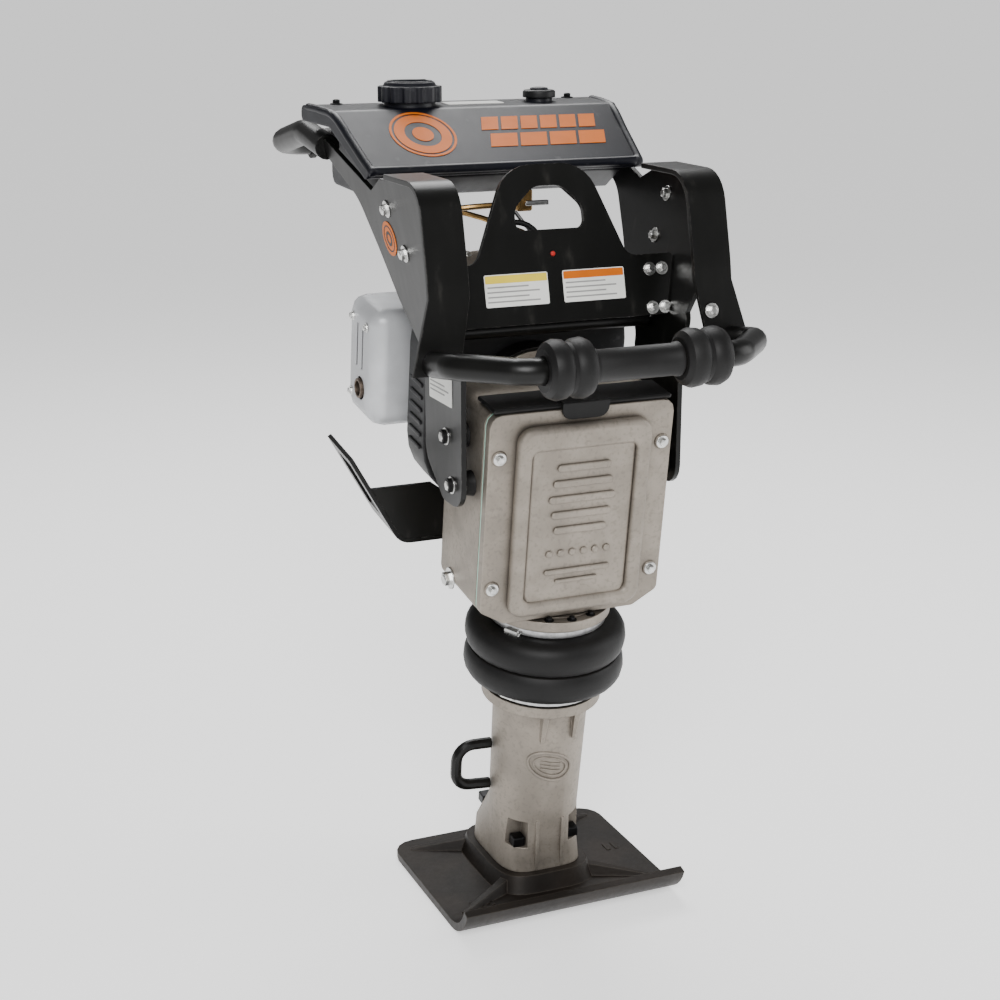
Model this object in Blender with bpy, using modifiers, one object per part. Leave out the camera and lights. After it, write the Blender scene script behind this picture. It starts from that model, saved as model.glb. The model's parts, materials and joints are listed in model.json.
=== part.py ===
"""Jumping jack rammer (tamping rammer) with a petrol engine, a spring leg and a tank on a lifting frame.

World frame: +Z up, the sole of the shoe at z = 0, the toe towards -Y, the operator at +Y.
The ram leans forward: its pieces are parented to an empty whose +Z runs up the leg, so there
x is sideways, y is the depth behind the leg's axis and z is the height along the axis.
"""

import math

import bmesh
import bpy
from mathutils import Matrix, Vector

# Clearances
GAP = 0.0003
SLIDE_GAP = 0.0005

# Ram axis
LEAN = math.radians(8.0)
AXIS_FOOT_Y = 0.015

# Shoe
SHOE_WIDTH = 0.280
SHOE_REAR_Y = 0.125
SHOE_FLAT = 0.205
SHOE_THICKNESS = 0.010
SHOE_LIP_RADIUS = 0.053
SHOE_LIP_ANGLE = math.radians(72)
SHOE_CORNER = 0.028
BOSS_TOP_Z = 0.030
BOSS_CENTRE_Y = 0.021
BOSS_HALF_X = 0.060
BOSS_HALF_Y = 0.078

# Leg casting, measured up the ram axis
LEG_TOP = 0.268
LEG_RADIUS = 0.056
LEG_WAIST_RADIUS = 0.0535
LEG_WAIST = 0.105
LEG_BORE = 0.0425
LEG_BORE_STEP = 0.095
LEG_LOWER_BORE = 0.034
LEG_FLOOR = 0.052
LEG_FLANGE_RADIUS = 0.0705
LEG_FLANGE = 0.013
FOOT_HALF_X = 0.052
FOOT_HALF_Y = 0.069
FOOT_LEDGE = 0.068
NUT_X = 0.0350
NUT_FRONT = -0.0370
NUT_REAR = 0.0600
NUT_HALF = 0.0075
NUT_HEIGHT = 0.012
BOLT_RADIUS = 0.005
GRAB_TOP = 0.186
GRAB_BOTTOM = 0.130
GRAB_REACH = 0.099
GRAB_RADIUS = 0.0068
GRAB_Y = 0.010

# Spring pack and piston
SPRING_RADIUS = 0.024
SPRING_WIRE = 0.007
SPRING_TURNS = 4
PISTON_BOTTOM = 0.1145
PISTON_HEIGHT = 0.017
PISTON_RADIUS = 0.040
SEAT_BOTTOM = 0.184
SEAT_HEIGHT = 0.007
ROD_RADIUS = 0.010
FORK_HALF_X = 0.018
FORK_HALF_Y = 0.0195
FORK_SLOT_HALF = 0.0112
FORK_BOTTOM = 0.315
FORK_SLOT_BOTTOM = 0.330

# Bellows and guide cylinder
BELLOWS_RADIUS = 0.094
BELLOWS_WALL = 0.004
BULGE_STEPS = 8
GUIDE_FLANGE_BOTTOM = 0.368
GUIDE_FLANGE = 0.012
GUIDE_FLANGE_RADIUS = 0.073
GUIDE_TUBE_BOTTOM = 0.208
GUIDE_BORE = 0.0345
GUIDE_MOUTH = 0.0410
GUIDE_MOUTH_DEPTH = 0.014
BUSH_TOP = 0.242
CUFF_RADIUS = 0.062
CUFF_HEIGHT = 0.011
CLAMP_WALL = 0.003

# Crankcase
CASE_HALF_X = 0.110
CASE_FRONT = -0.043
CASE_REAR = 0.070
CASE_BOTTOM = 0.382
CASE_TOP = 0.632
CASE_WALL = 0.010
CASE_CORNER = 0.012
NECK_RADIUS = 0.062
NECK_BORE = 0.050
GASKET = 0.002
COVER_THICKNESS = 0.012
COVER_PANEL_HALF_X = 0.066
COVER_PANEL_RISE = 0.009
PAD_THICKNESS = 0.006
PAD_DEPTH = 0.048

# Crank drive
CRANK_HEIGHT = 0.503
CRANK_THROW = 0.020
GEAR_TEETH = 48
PINION_TEETH = 12
CENTRE_DISTANCE = 0.082
GEAR_NEAR = 0.016
GEAR_WIDTH = 0.014
CRANK_SHAFT_RADIUS = 0.012
CRANK_PIN_RADIUS = 0.009
CON_ROD_LENGTH = 0.110
CON_ROD_HALF = 0.0095
BIG_END_RADIUS = 0.018
SMALL_END_RADIUS = 0.014
WRIST_PIN_RADIUS = 0.0075
PINION_SHAFT_RADIUS = 0.008
DRUM_RADIUS = 0.046
DRUM_WALL = 0.003
DRUM_NEAR = 0.073
DRUM_DEPTH = 0.025

# Engine, in the ram frame
ENGINE_HEIGHT = CRANK_HEIGHT + CENTRE_DISTANCE
ENGINE_BELL_RADIUS = 0.068
ENGINE_BELL_DEPTH = 0.085
ENGINE_REAR = 0.250
ENGINE_HALF_X = 0.058
ENGINE_BOTTOM = 0.500
ENGINE_TOP = 0.650
ENGINE_SHAFT_RADIUS = 0.011
SUMP_HALF_X = 0.045
FAN_NEAR = 0.0953
FAN_DEPTH = 0.055
FAN_HALF_X = 0.124
FAN_BOTTOM = 0.465
FAN_TOP = 0.700
BARREL_Y = 0.200
BARREL_TOP = 0.722
FIN_COUNT = 6
FLYWHEEL_RADIUS = 0.046
STARTER_RADIUS = 0.058
STARTER_DEPTH = 0.040
GUARD_WALL = 0.002
MUFFLER_BOX = ((-0.158, 0.178, 0.530), (-0.0595, 0.272, 0.674))
CARB_HALF = 0.018
CARB_Y = 0.192
CARB_HEIGHT = 0.620
CARB_REACH = 0.042
CLEANER_REACH = 0.152
CRADLE_BOTTOM = 0.408
CRADLE_HALF_X = 0.135
CRADLE_TIP_X = 0.200
CRADLE_TIP = 0.520
CRADLE_NEAR = 0.125
CRADLE_DEPTH = 0.080
CRADLE_PLATE = 0.005

# Lifting frame, in world metres
FRAME_PIVOT = (0.0, -0.0675, 0.555)
SIDE_HALF_X = CASE_HALF_X + 0.020
SIDE_PLATE = 0.006
SPLAY_START_Z = 0.655
SPLAY_SLOPE = 0.20
SIDE_FRONT_Y = -0.104
SIDE_BOTTOM_Z = 0.509
TAIL_HALF = 0.011
MOUNT_POINTS = ((-0.060, 0.583), (-0.076, 0.532))
MOUNT_RADIUS = 0.0145
BAND_WIDTH = 0.046
BAND_CENTRE_X = SIDE_HALF_X + 0.0245
BAND_THICKNESS = 0.006
BAND_TOP_Z = 0.857
BAND_LOW_Z = 0.668
BAND_LOW_Y = -0.136
FLARE_START_Z = 0.745
FLARE_INNER = 0.016
FLARE_OUTER = 0.022
BAR_RADIUS = 0.014
BAR_FRONT_Y = -0.244
BAR_Z = 0.689
BAR_HALF_X = 0.175
ROLLER_X = 0.0763
ROLLER_LENGTH = 0.052
ROLLER_RADIUS = 0.031
LIFT_PLATE = 0.006
LIFT_BOTTOM_Z = 0.698
LIFT_WING_Z = 0.764
LIFT_APEX_Z = 0.866
LIFT_FOOT_Y = -0.0592
LIFT_SLOPE = 0.24
CROSS_TUBE_RADIUS = 0.010
CROSS_TUBE_YZ = (-0.018, 0.688)

# Fuel tank, in world metres
TANK_FRONT_HALF_X = 0.170
TANK_TAIL_HALF_X = 0.190
TANK_BODY_HALF_X = 0.150
TANK_FRONT = (0.070, 0.855)
TANK_CREST = (0.172, 0.915)
TANK_REAR = (0.252, 0.918)
TANK_TAIL_Y = 0.250
TANK_HOOD = 0.013
TANK_BODY_BOTTOM_Z = 0.820
TANK_BODY_REAR_Y = 0.262
CAP_CENTRE = (-0.070, 0.207)
CAP_RADIUS = 0.038
CAP_HEIGHT = 0.027
VENT_CENTRE = (0.100, 0.214)
VENT_RADIUS = 0.020
VENT_HEIGHT = 0.009
NECK_HEIGHT = 0.004
VALVE_XY = (0.036, 0.118)

# Operator's handle and throttle, in world metres
GRIP_RADIUS = 0.015
GRIP_REAR_Y = 0.417
GRIP_Z = 0.858
GRIP_CORNER = 0.045
THROTTLE_X = 0.090
LEVER_LENGTH = 0.075

FINISHES = {
    "cast_aluminium": ((0.60, 0.57, 0.53), 0.45, 0.9),
    "cast_iron": ((0.055, 0.045, 0.040), 0.55, 0.7),
    "black_paint": ((0.012, 0.012, 0.013), 0.35, 0.0),
    "black_plastic": ((0.014, 0.014, 0.018), 0.38, 0.0),
    "rubber": ((0.020, 0.020, 0.021), 0.75, 0.0),
    "steel": ((0.62, 0.62, 0.62), 0.28, 1.0),
    "spring_steel": ((0.20, 0.20, 0.21), 0.35, 1.0),
    "silver_paint": ((0.62, 0.63, 0.65), 0.40, 0.3),
    "brass": ((0.52, 0.36, 0.14), 0.35, 1.0),
    "red_plastic": ((0.55, 0.03, 0.02), 0.40, 0.0),
}

# Turning a shape's own +Z to the ram frame's depth (+Y) or to the sideways axis (+X)
FACE_BACK = Matrix.Rotation(-math.pi / 2, 4, "X")
FACE_SIDE = Matrix.Rotation(math.pi / 2, 4, "Y")
# Turning a flat outline, drawn in x and y, into the side plane (y, z) or the front plane (x, z)
SIDE_PLANE = Matrix(((0, 0, 1, 0), (1, 0, 0, 0), (0, 1, 0, 0), (0, 0, 0, 1)))
FRONT_PLANE = Matrix.Rotation(math.pi / 2, 4, "X")

TILT = Matrix.Translation((0, AXIS_FOOT_Y, 0)) @ Matrix.Rotation(LEAN, 4, "X")


def side_x(z):
    """Half width between the side plates' middles at a height: they splay above the bend."""
    return SIDE_HALF_X + max(0.0, z - SPLAY_START_Z) * SPLAY_SLOPE


# ---------------------------------------------------------------- scene helpers


def clear_scene():
    for obj in list(bpy.data.objects):
        bpy.data.objects.remove(obj)


def new_collection(name):
    collection = bpy.data.collections.new(name)
    bpy.context.scene.collection.children.link(collection)
    return collection


def new_finish(name):
    colour, roughness, metallic = FINISHES[name]
    material = bpy.data.materials.new(name)
    material.use_nodes = True
    shader = material.node_tree.nodes["Principled BSDF"]
    shader.inputs["Base Color"].default_value = (*colour, 1)
    shader.inputs["Roughness"].default_value = roughness
    shader.inputs["Metallic"].default_value = metallic
    return material


def new_empty(name, parent=None, matrix=None):
    empty = bpy.data.objects.new(name, None)
    PARTS.objects.link(empty)
    empty.parent = parent
    if matrix is not None:
        empty.matrix_local = matrix
    return empty


def new_object(name, data, finish, parent=None, matrix=None):
    obj = bpy.data.objects.new(name, data)
    PARTS.objects.link(obj)
    obj.parent = parent
    if matrix is not None:
        obj.matrix_local = matrix
    data.materials.append(MATERIALS[finish])
    if isinstance(data, bpy.types.Mesh):
        data.shade_smooth()
        data.set_sharp_from_angle(angle=math.radians(35))
    return obj


def as_helper(obj):
    """Turns an object into a cutter, or into a shape that a Boolean joins."""
    PARTS.objects.unlink(obj)
    CUTTERS.objects.link(obj)
    obj.hide_render = True
    obj.display_type = "WIRE"
    return obj


def combine(target, other, operation):
    modifier = target.modifiers.new(other.name, "BOOLEAN")
    modifier.operation = operation
    modifier.solver = "EXACT"
    modifier.object = as_helper(other)


def join(target, *others):
    for other in others:
        combine(target, other, "UNION")


def cut(target, *others):
    for other in others:
        combine(target, other, "DIFFERENCE")


def cut_with_same(target, helper):
    modifier = target.modifiers.new(helper.name, "BOOLEAN")
    modifier.operation = "DIFFERENCE"
    modifier.solver = "EXACT"
    modifier.object = helper


# ---------------------------------------------------------------- shape helpers


def mesh_from(build):
    bm = bmesh.new()
    build(bm)
    bmesh.ops.recalc_face_normals(bm, faces=bm.faces)
    mesh = bpy.data.meshes.new("shape")
    bm.to_mesh(mesh)
    bm.free()
    return mesh


def box(name, low, high, finish, parent=None, bevel=0.0, segments=2, matrix=None):
    low, high = Vector(low), Vector(high)

    def build(bm):
        place = Matrix.Translation((low + high) / 2) @ Matrix.Diagonal((*(high - low), 1))
        bmesh.ops.create_cube(bm, size=1, matrix=place)
        if bevel:
            bmesh.ops.bevel(
                bm,
                geom=list(bm.edges),
                offset=bevel,
                segments=segments,
                profile=0.5,
                affect="EDGES",
            )

    return new_object(name, mesh_from(build), finish, parent, matrix)


def rod(name, start, end, radius, finish, parent=None, sides=24, end_radius=None):
    start, end = Vector(start), Vector(end)
    along = end - start

    def build(bm):
        turn = along.to_track_quat("Z", "Y").to_matrix().to_4x4()
        bmesh.ops.create_cone(
            bm,
            cap_ends=True,
            segments=sides,
            radius1=radius,
            radius2=radius if end_radius is None else end_radius,
            depth=along.length,
            matrix=Matrix.Translation((start + end) / 2) @ turn,
        )

    return new_object(name, mesh_from(build), finish, parent)


def turned(name, profile, finish, parent=None, matrix=None, steps=32):
    """A profile of (radius, height) points, down the outer side, spun about Z.

    A profile that starts off the axis is closed back to its first point.
    """
    mesh = bpy.data.meshes.new(name)
    edges = [(i, i + 1) for i in range(len(profile) - 1)]
    if profile[0][0] > 0:
        edges.append((len(profile) - 1, 0))
    mesh.from_pydata([(radius, 0, height) for radius, height in profile], edges, [])
    obj = new_object(name, mesh, finish, parent, matrix)
    screw = obj.modifiers.new("turn", "SCREW")
    screw.steps = steps
    screw.render_steps = steps
    screw.use_merge_vertices = True
    screw.merge_threshold = 0.00001
    screw.use_smooth_shade = True
    return obj


def rounded(corners, steps=5, closed=True):
    """Points along straight runs whose corners are arcs. Each corner is (x, y, z, radius)."""
    points = [Vector(corner[:3]) for corner in corners]
    result = []
    for i, corner in enumerate(corners):
        here, radius = points[i], corner[3]
        ends = not closed and i in (0, len(corners) - 1)
        if ends or radius == 0:
            result.append(here)
            continue
        before = (points[i - 1] - here).normalized()
        after = (points[(i + 1) % len(points)] - here).normalized()
        half = before.angle(after) / 2
        centre = here + (before + after).normalized() * (radius / math.sin(half))
        start = (here + before * (radius / math.tan(half)) - centre).normalized()
        end = (here + after * (radius / math.tan(half)) - centre).normalized()
        for step in range(steps + 1):
            result.append(centre + start.slerp(end, step / steps) * radius)
    return result


def flat(corners):
    """Corners (x, y, radius) of a flat outline, as corners in space."""
    return [(x, y, 0.0, radius) for x, y, radius in corners]


def circle(x, y, radius, sides=24):
    angles = [2 * math.pi * i / sides for i in range(sides)]
    return [Vector((x + radius * math.cos(a), y + radius * math.sin(a), 0)) for a in angles]


def to_mesh_object(curve_object):
    """The same object as a closed mesh, so that a Boolean can use it."""
    bpy.context.view_layer.update()
    evaluated = curve_object.evaluated_get(bpy.context.evaluated_depsgraph_get())
    mesh = bpy.data.meshes.new_from_object(evaluated)
    bm = bmesh.new()
    bm.from_mesh(mesh)
    bmesh.ops.remove_doubles(bm, verts=bm.verts, dist=0.00001)
    bmesh.ops.recalc_face_normals(bm, faces=bm.faces)
    bm.to_mesh(mesh)
    bm.free()
    mesh.shade_smooth()
    mesh.set_sharp_from_angle(angle=math.radians(35))
    name = curve_object.name
    parent = curve_object.parent
    matrix = curve_object.matrix_local.copy()
    bpy.data.objects.remove(curve_object)
    obj = bpy.data.objects.new(name, mesh)
    PARTS.objects.link(obj)
    obj.parent = parent
    obj.matrix_local = matrix
    return obj


def plate(name, outlines, thickness, finish, parent=None, matrix=None):
    """A flat plate: the first outline is its edge and the others are holes."""
    curve = bpy.data.curves.new(name, "CURVE")
    curve.dimensions = "2D"
    curve.fill_mode = "BOTH"
    curve.extrude = thickness / 2
    for outline in outlines:
        spline = curve.splines.new("POLY")
        spline.points.add(len(outline) - 1)
        for point, place in zip(spline.points, outline):
            point.co = (place[0], place[1], 0, 1)
        spline.use_cyclic_u = True
    return to_mesh_object(new_object(name, curve, finish, parent, matrix))


def tube(name, route, radius, finish, parent=None, resolution=3):
    curve = bpy.data.curves.new(name, "CURVE")
    curve.dimensions = "3D"
    curve.bevel_depth = radius
    curve.bevel_resolution = resolution
    curve.use_fill_caps = True
    spline = curve.splines.new("POLY")
    spline.points.add(len(route) - 1)
    for point, place in zip(spline.points, route):
        point.co = (*place, 1)
    return new_object(name, curve, finish, parent)


def smooth_route(knots, steps=4):
    """Points on a Catmull-Rom curve through the knots."""
    knots = [Vector(knot) for knot in knots]
    padded = [2 * knots[0] - knots[1], *knots, 2 * knots[-1] - knots[-2]]
    route = []
    for a, b, c, d in zip(padded, padded[1:], padded[2:], padded[3:]):
        for step in range(steps):
            t = step / steps
            bend = (2 * a - 5 * b + 4 * c - d) * t * t + (3 * b - a - 3 * c + d) * t**3
            route.append((2 * b + (c - a) * t + bend) / 2)
    route.append(knots[-1])
    return route


def loft(name, rings, finish, parent=None):
    """A solid skin over rings that have the same number of points, with flat ends."""

    def build(bm):
        rows = [[bm.verts.new(point) for point in ring] for ring in rings]
        for low, high in zip(rows, rows[1:]):
            for i in range(len(low)):
                j = (i + 1) % len(low)
                bm.faces.new((low[i], low[j], high[j], high[i]))
        bm.faces.new(reversed(rows[0]))
        bm.faces.new(rows[-1])

    return new_object(name, mesh_from(build), finish, parent)


def squared_ring(centre, half_x, half_y, z, power=4.0, sides=32):
    """A ring between an ellipse (power 2) and a rectangle (high power)."""
    ring = []
    for i in range(sides):
        angle = 2 * math.pi * (i + 0.5) / sides
        c, s = math.cos(angle), math.sin(angle)
        x = math.copysign(abs(c) ** (2 / power), c) * half_x
        y = math.copysign(abs(s) ** (2 / power), s) * half_y
        ring.append(Vector((centre[0] + x, centre[1] + y, z)))
    return ring


def wedge(name, near, far, finish, parent=None):
    """A rib between two rectangles, each given by its four corners."""
    return loft(name, [[Vector(p) for p in near], [Vector(p) for p in far]], finish, parent)


def ram_to_world(point):
    return TILT @ Vector(point)


def world_to_ram(point):
    return TILT.inverted() @ Vector(point)


# ---------------------------------------------------------------- shoe and leg


def shoe_outline():
    """The shoe's side view, (y, z): a flat sole and a curled toe."""
    flat_front = SHOE_REAR_Y - SHOE_FLAT
    steps = 7
    angles = [SHOE_LIP_ANGLE * i / steps for i in range(steps + 1)]
    inner = SHOE_LIP_RADIUS - SHOE_THICKNESS
    under = [
        (flat_front - SHOE_LIP_RADIUS * math.sin(a), SHOE_LIP_RADIUS * (1 - math.cos(a)))
        for a in angles
    ]
    over = [
        (flat_front - inner * math.sin(a), SHOE_LIP_RADIUS - inner * math.cos(a))
        for a in reversed(angles)
    ]
    return [(SHOE_REAR_Y, 0), *under, *over, (SHOE_REAR_Y, SHOE_THICKNESS)]


def round_rear_corners(mesh):
    bm = bmesh.new()
    bm.from_mesh(mesh)
    edges = [
        edge
        for edge in bm.edges
        if all(v.co.x > SHOE_REAR_Y - 1e-5 for v in edge.verts)
        and abs(edge.verts[0].co.z - edge.verts[1].co.z) < 1e-6
    ]
    bmesh.ops.bevel(
        bm, geom=edges, offset=SHOE_CORNER, segments=4, profile=0.5, affect="EDGES"
    )
    bm.to_mesh(mesh)
    bm.free()


def make_shoe():
    shoe = plate("shoe_plate", [shoe_outline()], SHOE_WIDTH, "cast_iron", None, SIDE_PLANE)
    round_rear_corners(shoe.data)
    sink = SHOE_THICKNESS - 0.002
    centre = (0, BOSS_CENTRE_Y)
    boss = loft(
        "shoe_boss",
        [
            squared_ring(centre, BOSS_HALF_X + 0.008, BOSS_HALF_Y + 0.008, sink),
            squared_ring(centre, BOSS_HALF_X, BOSS_HALF_Y, BOSS_TOP_Z),
        ],
        "cast_iron",
    )
    join(shoe, boss)
    flat_front = SHOE_REAR_Y - SHOE_FLAT
    for side in (-1, 1):
        for end, far_y in (("front", flat_front + 0.004), ("rear", SHOE_REAR_Y - 0.024)):
            near = Vector((side * 0.045, BOSS_CENTRE_Y + math.copysign(0.055, far_y), 0))
            far = Vector((side * (SHOE_WIDTH / 2 - 0.018), far_y, 0))
            across = (far - near).cross(Vector((0, 0, 1))).normalized()
            rib = wedge(
                f"shoe_rib_{end}_{side}",
                rib_section(near, across, 0.011, sink, BOSS_TOP_Z - 0.004),
                rib_section(far, across, 0.005, sink, SHOE_THICKNESS + 0.002),
                "cast_iron",
            )
            join(shoe, rib)
    return shoe


def rib_section(centre, across, half_width, low, high):
    return [
        (*(centre - across * half_width)[:2], low),
        (*(centre + across * half_width)[:2], low),
        (*(centre + across * half_width * 0.5)[:2], high),
        (*(centre - across * half_width * 0.5)[:2], high),
    ]


def foot_ring(half_x, half_y, world_z):
    ring = squared_ring((0, BOSS_CENTRE_Y), half_x, half_y, world_z)
    return [world_to_ram(point) for point in ring]


def make_leg(ram, shoe):
    rings = [
        foot_ring(FOOT_HALF_X, FOOT_HALF_Y, BOSS_TOP_Z + GAP),
        foot_ring(FOOT_HALF_X - 0.002, FOOT_HALF_Y - 0.003, BOSS_TOP_Z + 0.028),
        squared_ring((0, 0), LEG_WAIST_RADIUS, LEG_WAIST_RADIUS, LEG_WAIST, 2),
        squared_ring((0, 0), LEG_RADIUS, LEG_RADIUS, LEG_TOP - 0.036, 2),
        squared_ring((0, 0), LEG_RADIUS + 0.003, LEG_RADIUS + 0.003, LEG_TOP - 0.004, 2),
    ]
    leg = loft("leg_casting", rings, "cast_aluminium", ram)
    flange = rod(
        "leg_flange",
        (0, 0, LEG_TOP - LEG_FLANGE),
        (0, 0, LEG_TOP),
        LEG_FLANGE_RADIUS,
        "cast_aluminium",
        ram,
        40,
    )
    join(leg, flange)
    for side in (-1, 1):
        for face, depth in (("front", -1), ("rear", 1)):
            reach = LEG_RADIUS + 0.002 if depth < 0 else FOOT_HALF_Y + 0.004
            low = world_to_ram((0, 0, BOSS_TOP_Z + 0.004)).z + 0.004
            rib = wedge(
                f"leg_rib_{face}_{side}",
                upright_section(side * 0.0165, 0.0025, depth * 0.040, depth * reach, low),
                upright_section(side * 0.0165, 0.002, depth * 0.040, depth * 0.0525, LEG_WAIST),
                "cast_aluminium",
                ram,
            )
            join(leg, rib)
        gusset = wedge(
            f"leg_gusset_{side}",
            upright_section(side * 0.020, 0.002, -0.045, -LEG_RADIUS, LEG_TOP - 0.052),
            upright_section(side * 0.020, 0.004, -0.045, -LEG_FLANGE_RADIUS + 0.007, LEG_TOP - 0.008),
            "cast_aluminium",
            ram,
        )
        join(leg, gusset)
    bore = turned(
        "leg_bore",
        [
            (0, LEG_TOP + 0.02),
            (LEG_BORE, LEG_TOP + 0.02),
            (LEG_BORE, LEG_BORE_STEP),
            (LEG_LOWER_BORE, LEG_BORE_STEP),
            (LEG_LOWER_BORE, LEG_FLOOR),
            (0, LEG_FLOOR),
        ],
        "cast_aluminium",
        ram,
        steps=40,
    )
    cut(leg, bore)
    for side in (-1, 1):
        for place, depth in (("front", NUT_FRONT), ("rear", NUT_REAR)):
            make_shoe_bolt(ram, leg, shoe, side, place, depth)
    return leg


def upright_section(x, half_width, near_y, far_y, z):
    near_y, far_y = sorted((near_y, far_y))
    return [
        (x - half_width, near_y, z),
        (x + half_width, near_y, z),
        (x + half_width, far_y, z),
        (x - half_width, far_y, z),
    ]


def make_shoe_bolt(ram, leg, shoe, side, place, depth):
    x = side * NUT_X
    clear = NUT_HALF + 0.001
    outwards = math.copysign(0.05, depth)
    low_y, high_y = sorted((depth - math.copysign(clear, depth), depth + outwards))
    pocket = box(
        f"nut_pocket_{place}_{side}",
        (min(x - side * clear, side * 0.09), low_y, FOOT_LEDGE),
        (max(x - side * clear, side * 0.09), high_y, FOOT_LEDGE + 0.034),
        "cast_aluminium",
        ram,
    )
    cut(leg, pocket)
    foot = FOOT_LEDGE - 0.038
    hole = rod(
        f"bolt_hole_{place}_{side}",
        (x, depth, foot),
        (x, depth, FOOT_LEDGE + 0.01),
        BOLT_RADIUS + GAP,
        "steel",
        ram,
        16,
    )
    cut(leg, hole)
    cut_with_same(shoe, hole)
    name = "left" if side < 0 else "right"
    shank_low = squared_ring((x, depth), BOLT_RADIUS, BOLT_RADIUS, foot + 0.001, 2, 12)
    shank_high = squared_ring((x, depth), BOLT_RADIUS, BOLT_RADIUS, FOOT_LEDGE + GAP, 2, 12)
    head = FOOT_LEDGE + GAP
    loft(
        f"shoe_bolt_{place}_{name}",
        [
            shank_low,
            shank_high,
            squared_ring((x, depth), NUT_HALF, NUT_HALF, head, 14, 12),
            squared_ring((x, depth), NUT_HALF, NUT_HALF, head + NUT_HEIGHT - 0.001, 14, 12),
            squared_ring((x, depth), NUT_HALF - 0.001, NUT_HALF - 0.001, head + NUT_HEIGHT, 14, 12),
        ],
        "black_paint",
        ram,
    )


def leg_radius_at(z):
    share = (z - LEG_WAIST) / (LEG_TOP - 0.036 - LEG_WAIST)
    return LEG_WAIST_RADIUS + (LEG_RADIUS - LEG_WAIST_RADIUS) * share


def make_leg_grab(ram):
    """The lifting grab on the side of the leg."""
    weld = 0.0012
    route = rounded(
        [
            (-leg_radius_at(GRAB_TOP) - weld, GRAB_Y, GRAB_TOP, 0),
            (-GRAB_REACH, GRAB_Y, GRAB_TOP + 0.002, 0.019),
            (-GRAB_REACH, GRAB_Y, GRAB_BOTTOM + 0.004, 0.019),
            (-leg_radius_at(GRAB_BOTTOM) - weld, GRAB_Y, GRAB_BOTTOM, 0),
        ],
        6,
        closed=False,
    )
    tube("leg_grab_handle", route, GRAB_RADIUS, "black_paint", ram)


def coil(name, low, high, turns, ram):
    """A compression spring with closed ends, as one wire."""
    per_turn = 12
    count = int(turns * per_turn)
    route = []
    for i in range(count + 1):
        share = i / count
        angle = 2 * math.pi * turns * share
        climb = share + 0.5 / turns / math.pi * math.sin(2 * math.pi * share) * -0.9
        height = low + (high - low) * min(max(climb, 0), 1)
        route.append((SPRING_RADIUS * math.cos(angle), SPRING_RADIUS * math.sin(angle), height))
    tube(name, route, SPRING_WIRE / 2, "spring_steel", ram, resolution=2)


def make_spring_pack(ram):
    half_wire = SPRING_WIRE / 2 + GAP + 0.0005
    coil("lower_spring", LEG_FLOOR + half_wire, PISTON_BOTTOM - half_wire, SPRING_TURNS, ram)
    piston_top = PISTON_BOTTOM + PISTON_HEIGHT
    coil("upper_spring", piston_top + half_wire, SEAT_BOTTOM - half_wire, SPRING_TURNS, ram)
    turned(
        "spring_piston",
        [
            (ROD_RADIUS + GAP, piston_top),
            (PISTON_RADIUS, piston_top),
            (PISTON_RADIUS, PISTON_BOTTOM),
            (ROD_RADIUS + GAP, PISTON_BOTTOM),
        ],
        "steel",
        ram,
    )
    turned(
        "spring_seat_ring",
        [
            (ROD_RADIUS + 0.0025, SEAT_BOTTOM + SEAT_HEIGHT),
            (LEG_BORE - GAP, SEAT_BOTTOM + SEAT_HEIGHT),
            (LEG_BORE - GAP, SEAT_BOTTOM),
            (ROD_RADIUS + 0.0025, SEAT_BOTTOM),
        ],
        "steel",
        ram,
    )


def make_piston_rod(ram):
    wrist = CRANK_HEIGHT - CRANK_THROW - CON_ROD_LENGTH
    fork_top = wrist + SMALL_END_RADIUS + 0.005
    fork = box(
        "piston_rod",
        (-FORK_HALF_X, -FORK_HALF_Y, FORK_BOTTOM),
        (FORK_HALF_X, FORK_HALF_Y, fork_top),
        "steel",
        ram,
        bevel=0.002,
        segments=1,
    )
    stem = rod(
        "rod_stem", (0, 0, PISTON_BOTTOM + 0.0005), (0, 0, FORK_BOTTOM + 0.003), ROD_RADIUS, "steel", ram
    )
    join(fork, stem)
    slot = box(
        "fork_slot",
        (-0.03, -FORK_SLOT_HALF, FORK_SLOT_BOTTOM),
        (0.03, FORK_SLOT_HALF, fork_top + 0.02),
        "steel",
        ram,
    )
    pin_hole = rod(
        "fork_pin_hole", (0, -0.03, wrist), (0, 0.03, wrist), WRIST_PIN_RADIUS + 0.0006, "steel", ram
    )
    cut(fork, slot, pin_hole)


# ---------------------------------------------------------------- bellows and guide


def bellows_profile():
    """Outer side from the top cuff down two bulges to the bottom cuff, then back up inside."""
    top = GUIDE_FLANGE_BOTTOM - GAP
    bottom = LEG_TOP + GAP
    bulge = (top - bottom - 2 * CUFF_HEIGHT) / 4
    mid = (top + bottom) / 2
    neck = CUFF_RADIUS + BELLOWS_WALL
    waist = BELLOWS_RADIUS - 0.012
    clean = [(neck, top), (neck, top - CUFF_HEIGHT)]
    for centre, ends in ((mid + bulge, (neck, waist)), (mid - bulge, (waist, neck))):
        for step in range(1, BULGE_STEPS):
            angle = math.pi / 2 - math.pi * step / BULGE_STEPS
            low = ends[0] if angle > 0 else ends[1]
            radius = low + (BELLOWS_RADIUS - low) * math.cos(angle) ** 0.6
            clean.append((radius, centre + bulge * math.sin(angle)))
        if centre > mid:
            clean.append((waist, mid))
    clean += [(neck, bottom + CUFF_HEIGHT), (neck, bottom)]
    inner = [(radius - BELLOWS_WALL, height) for radius, height in reversed(clean)]
    return clean + inner


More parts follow.
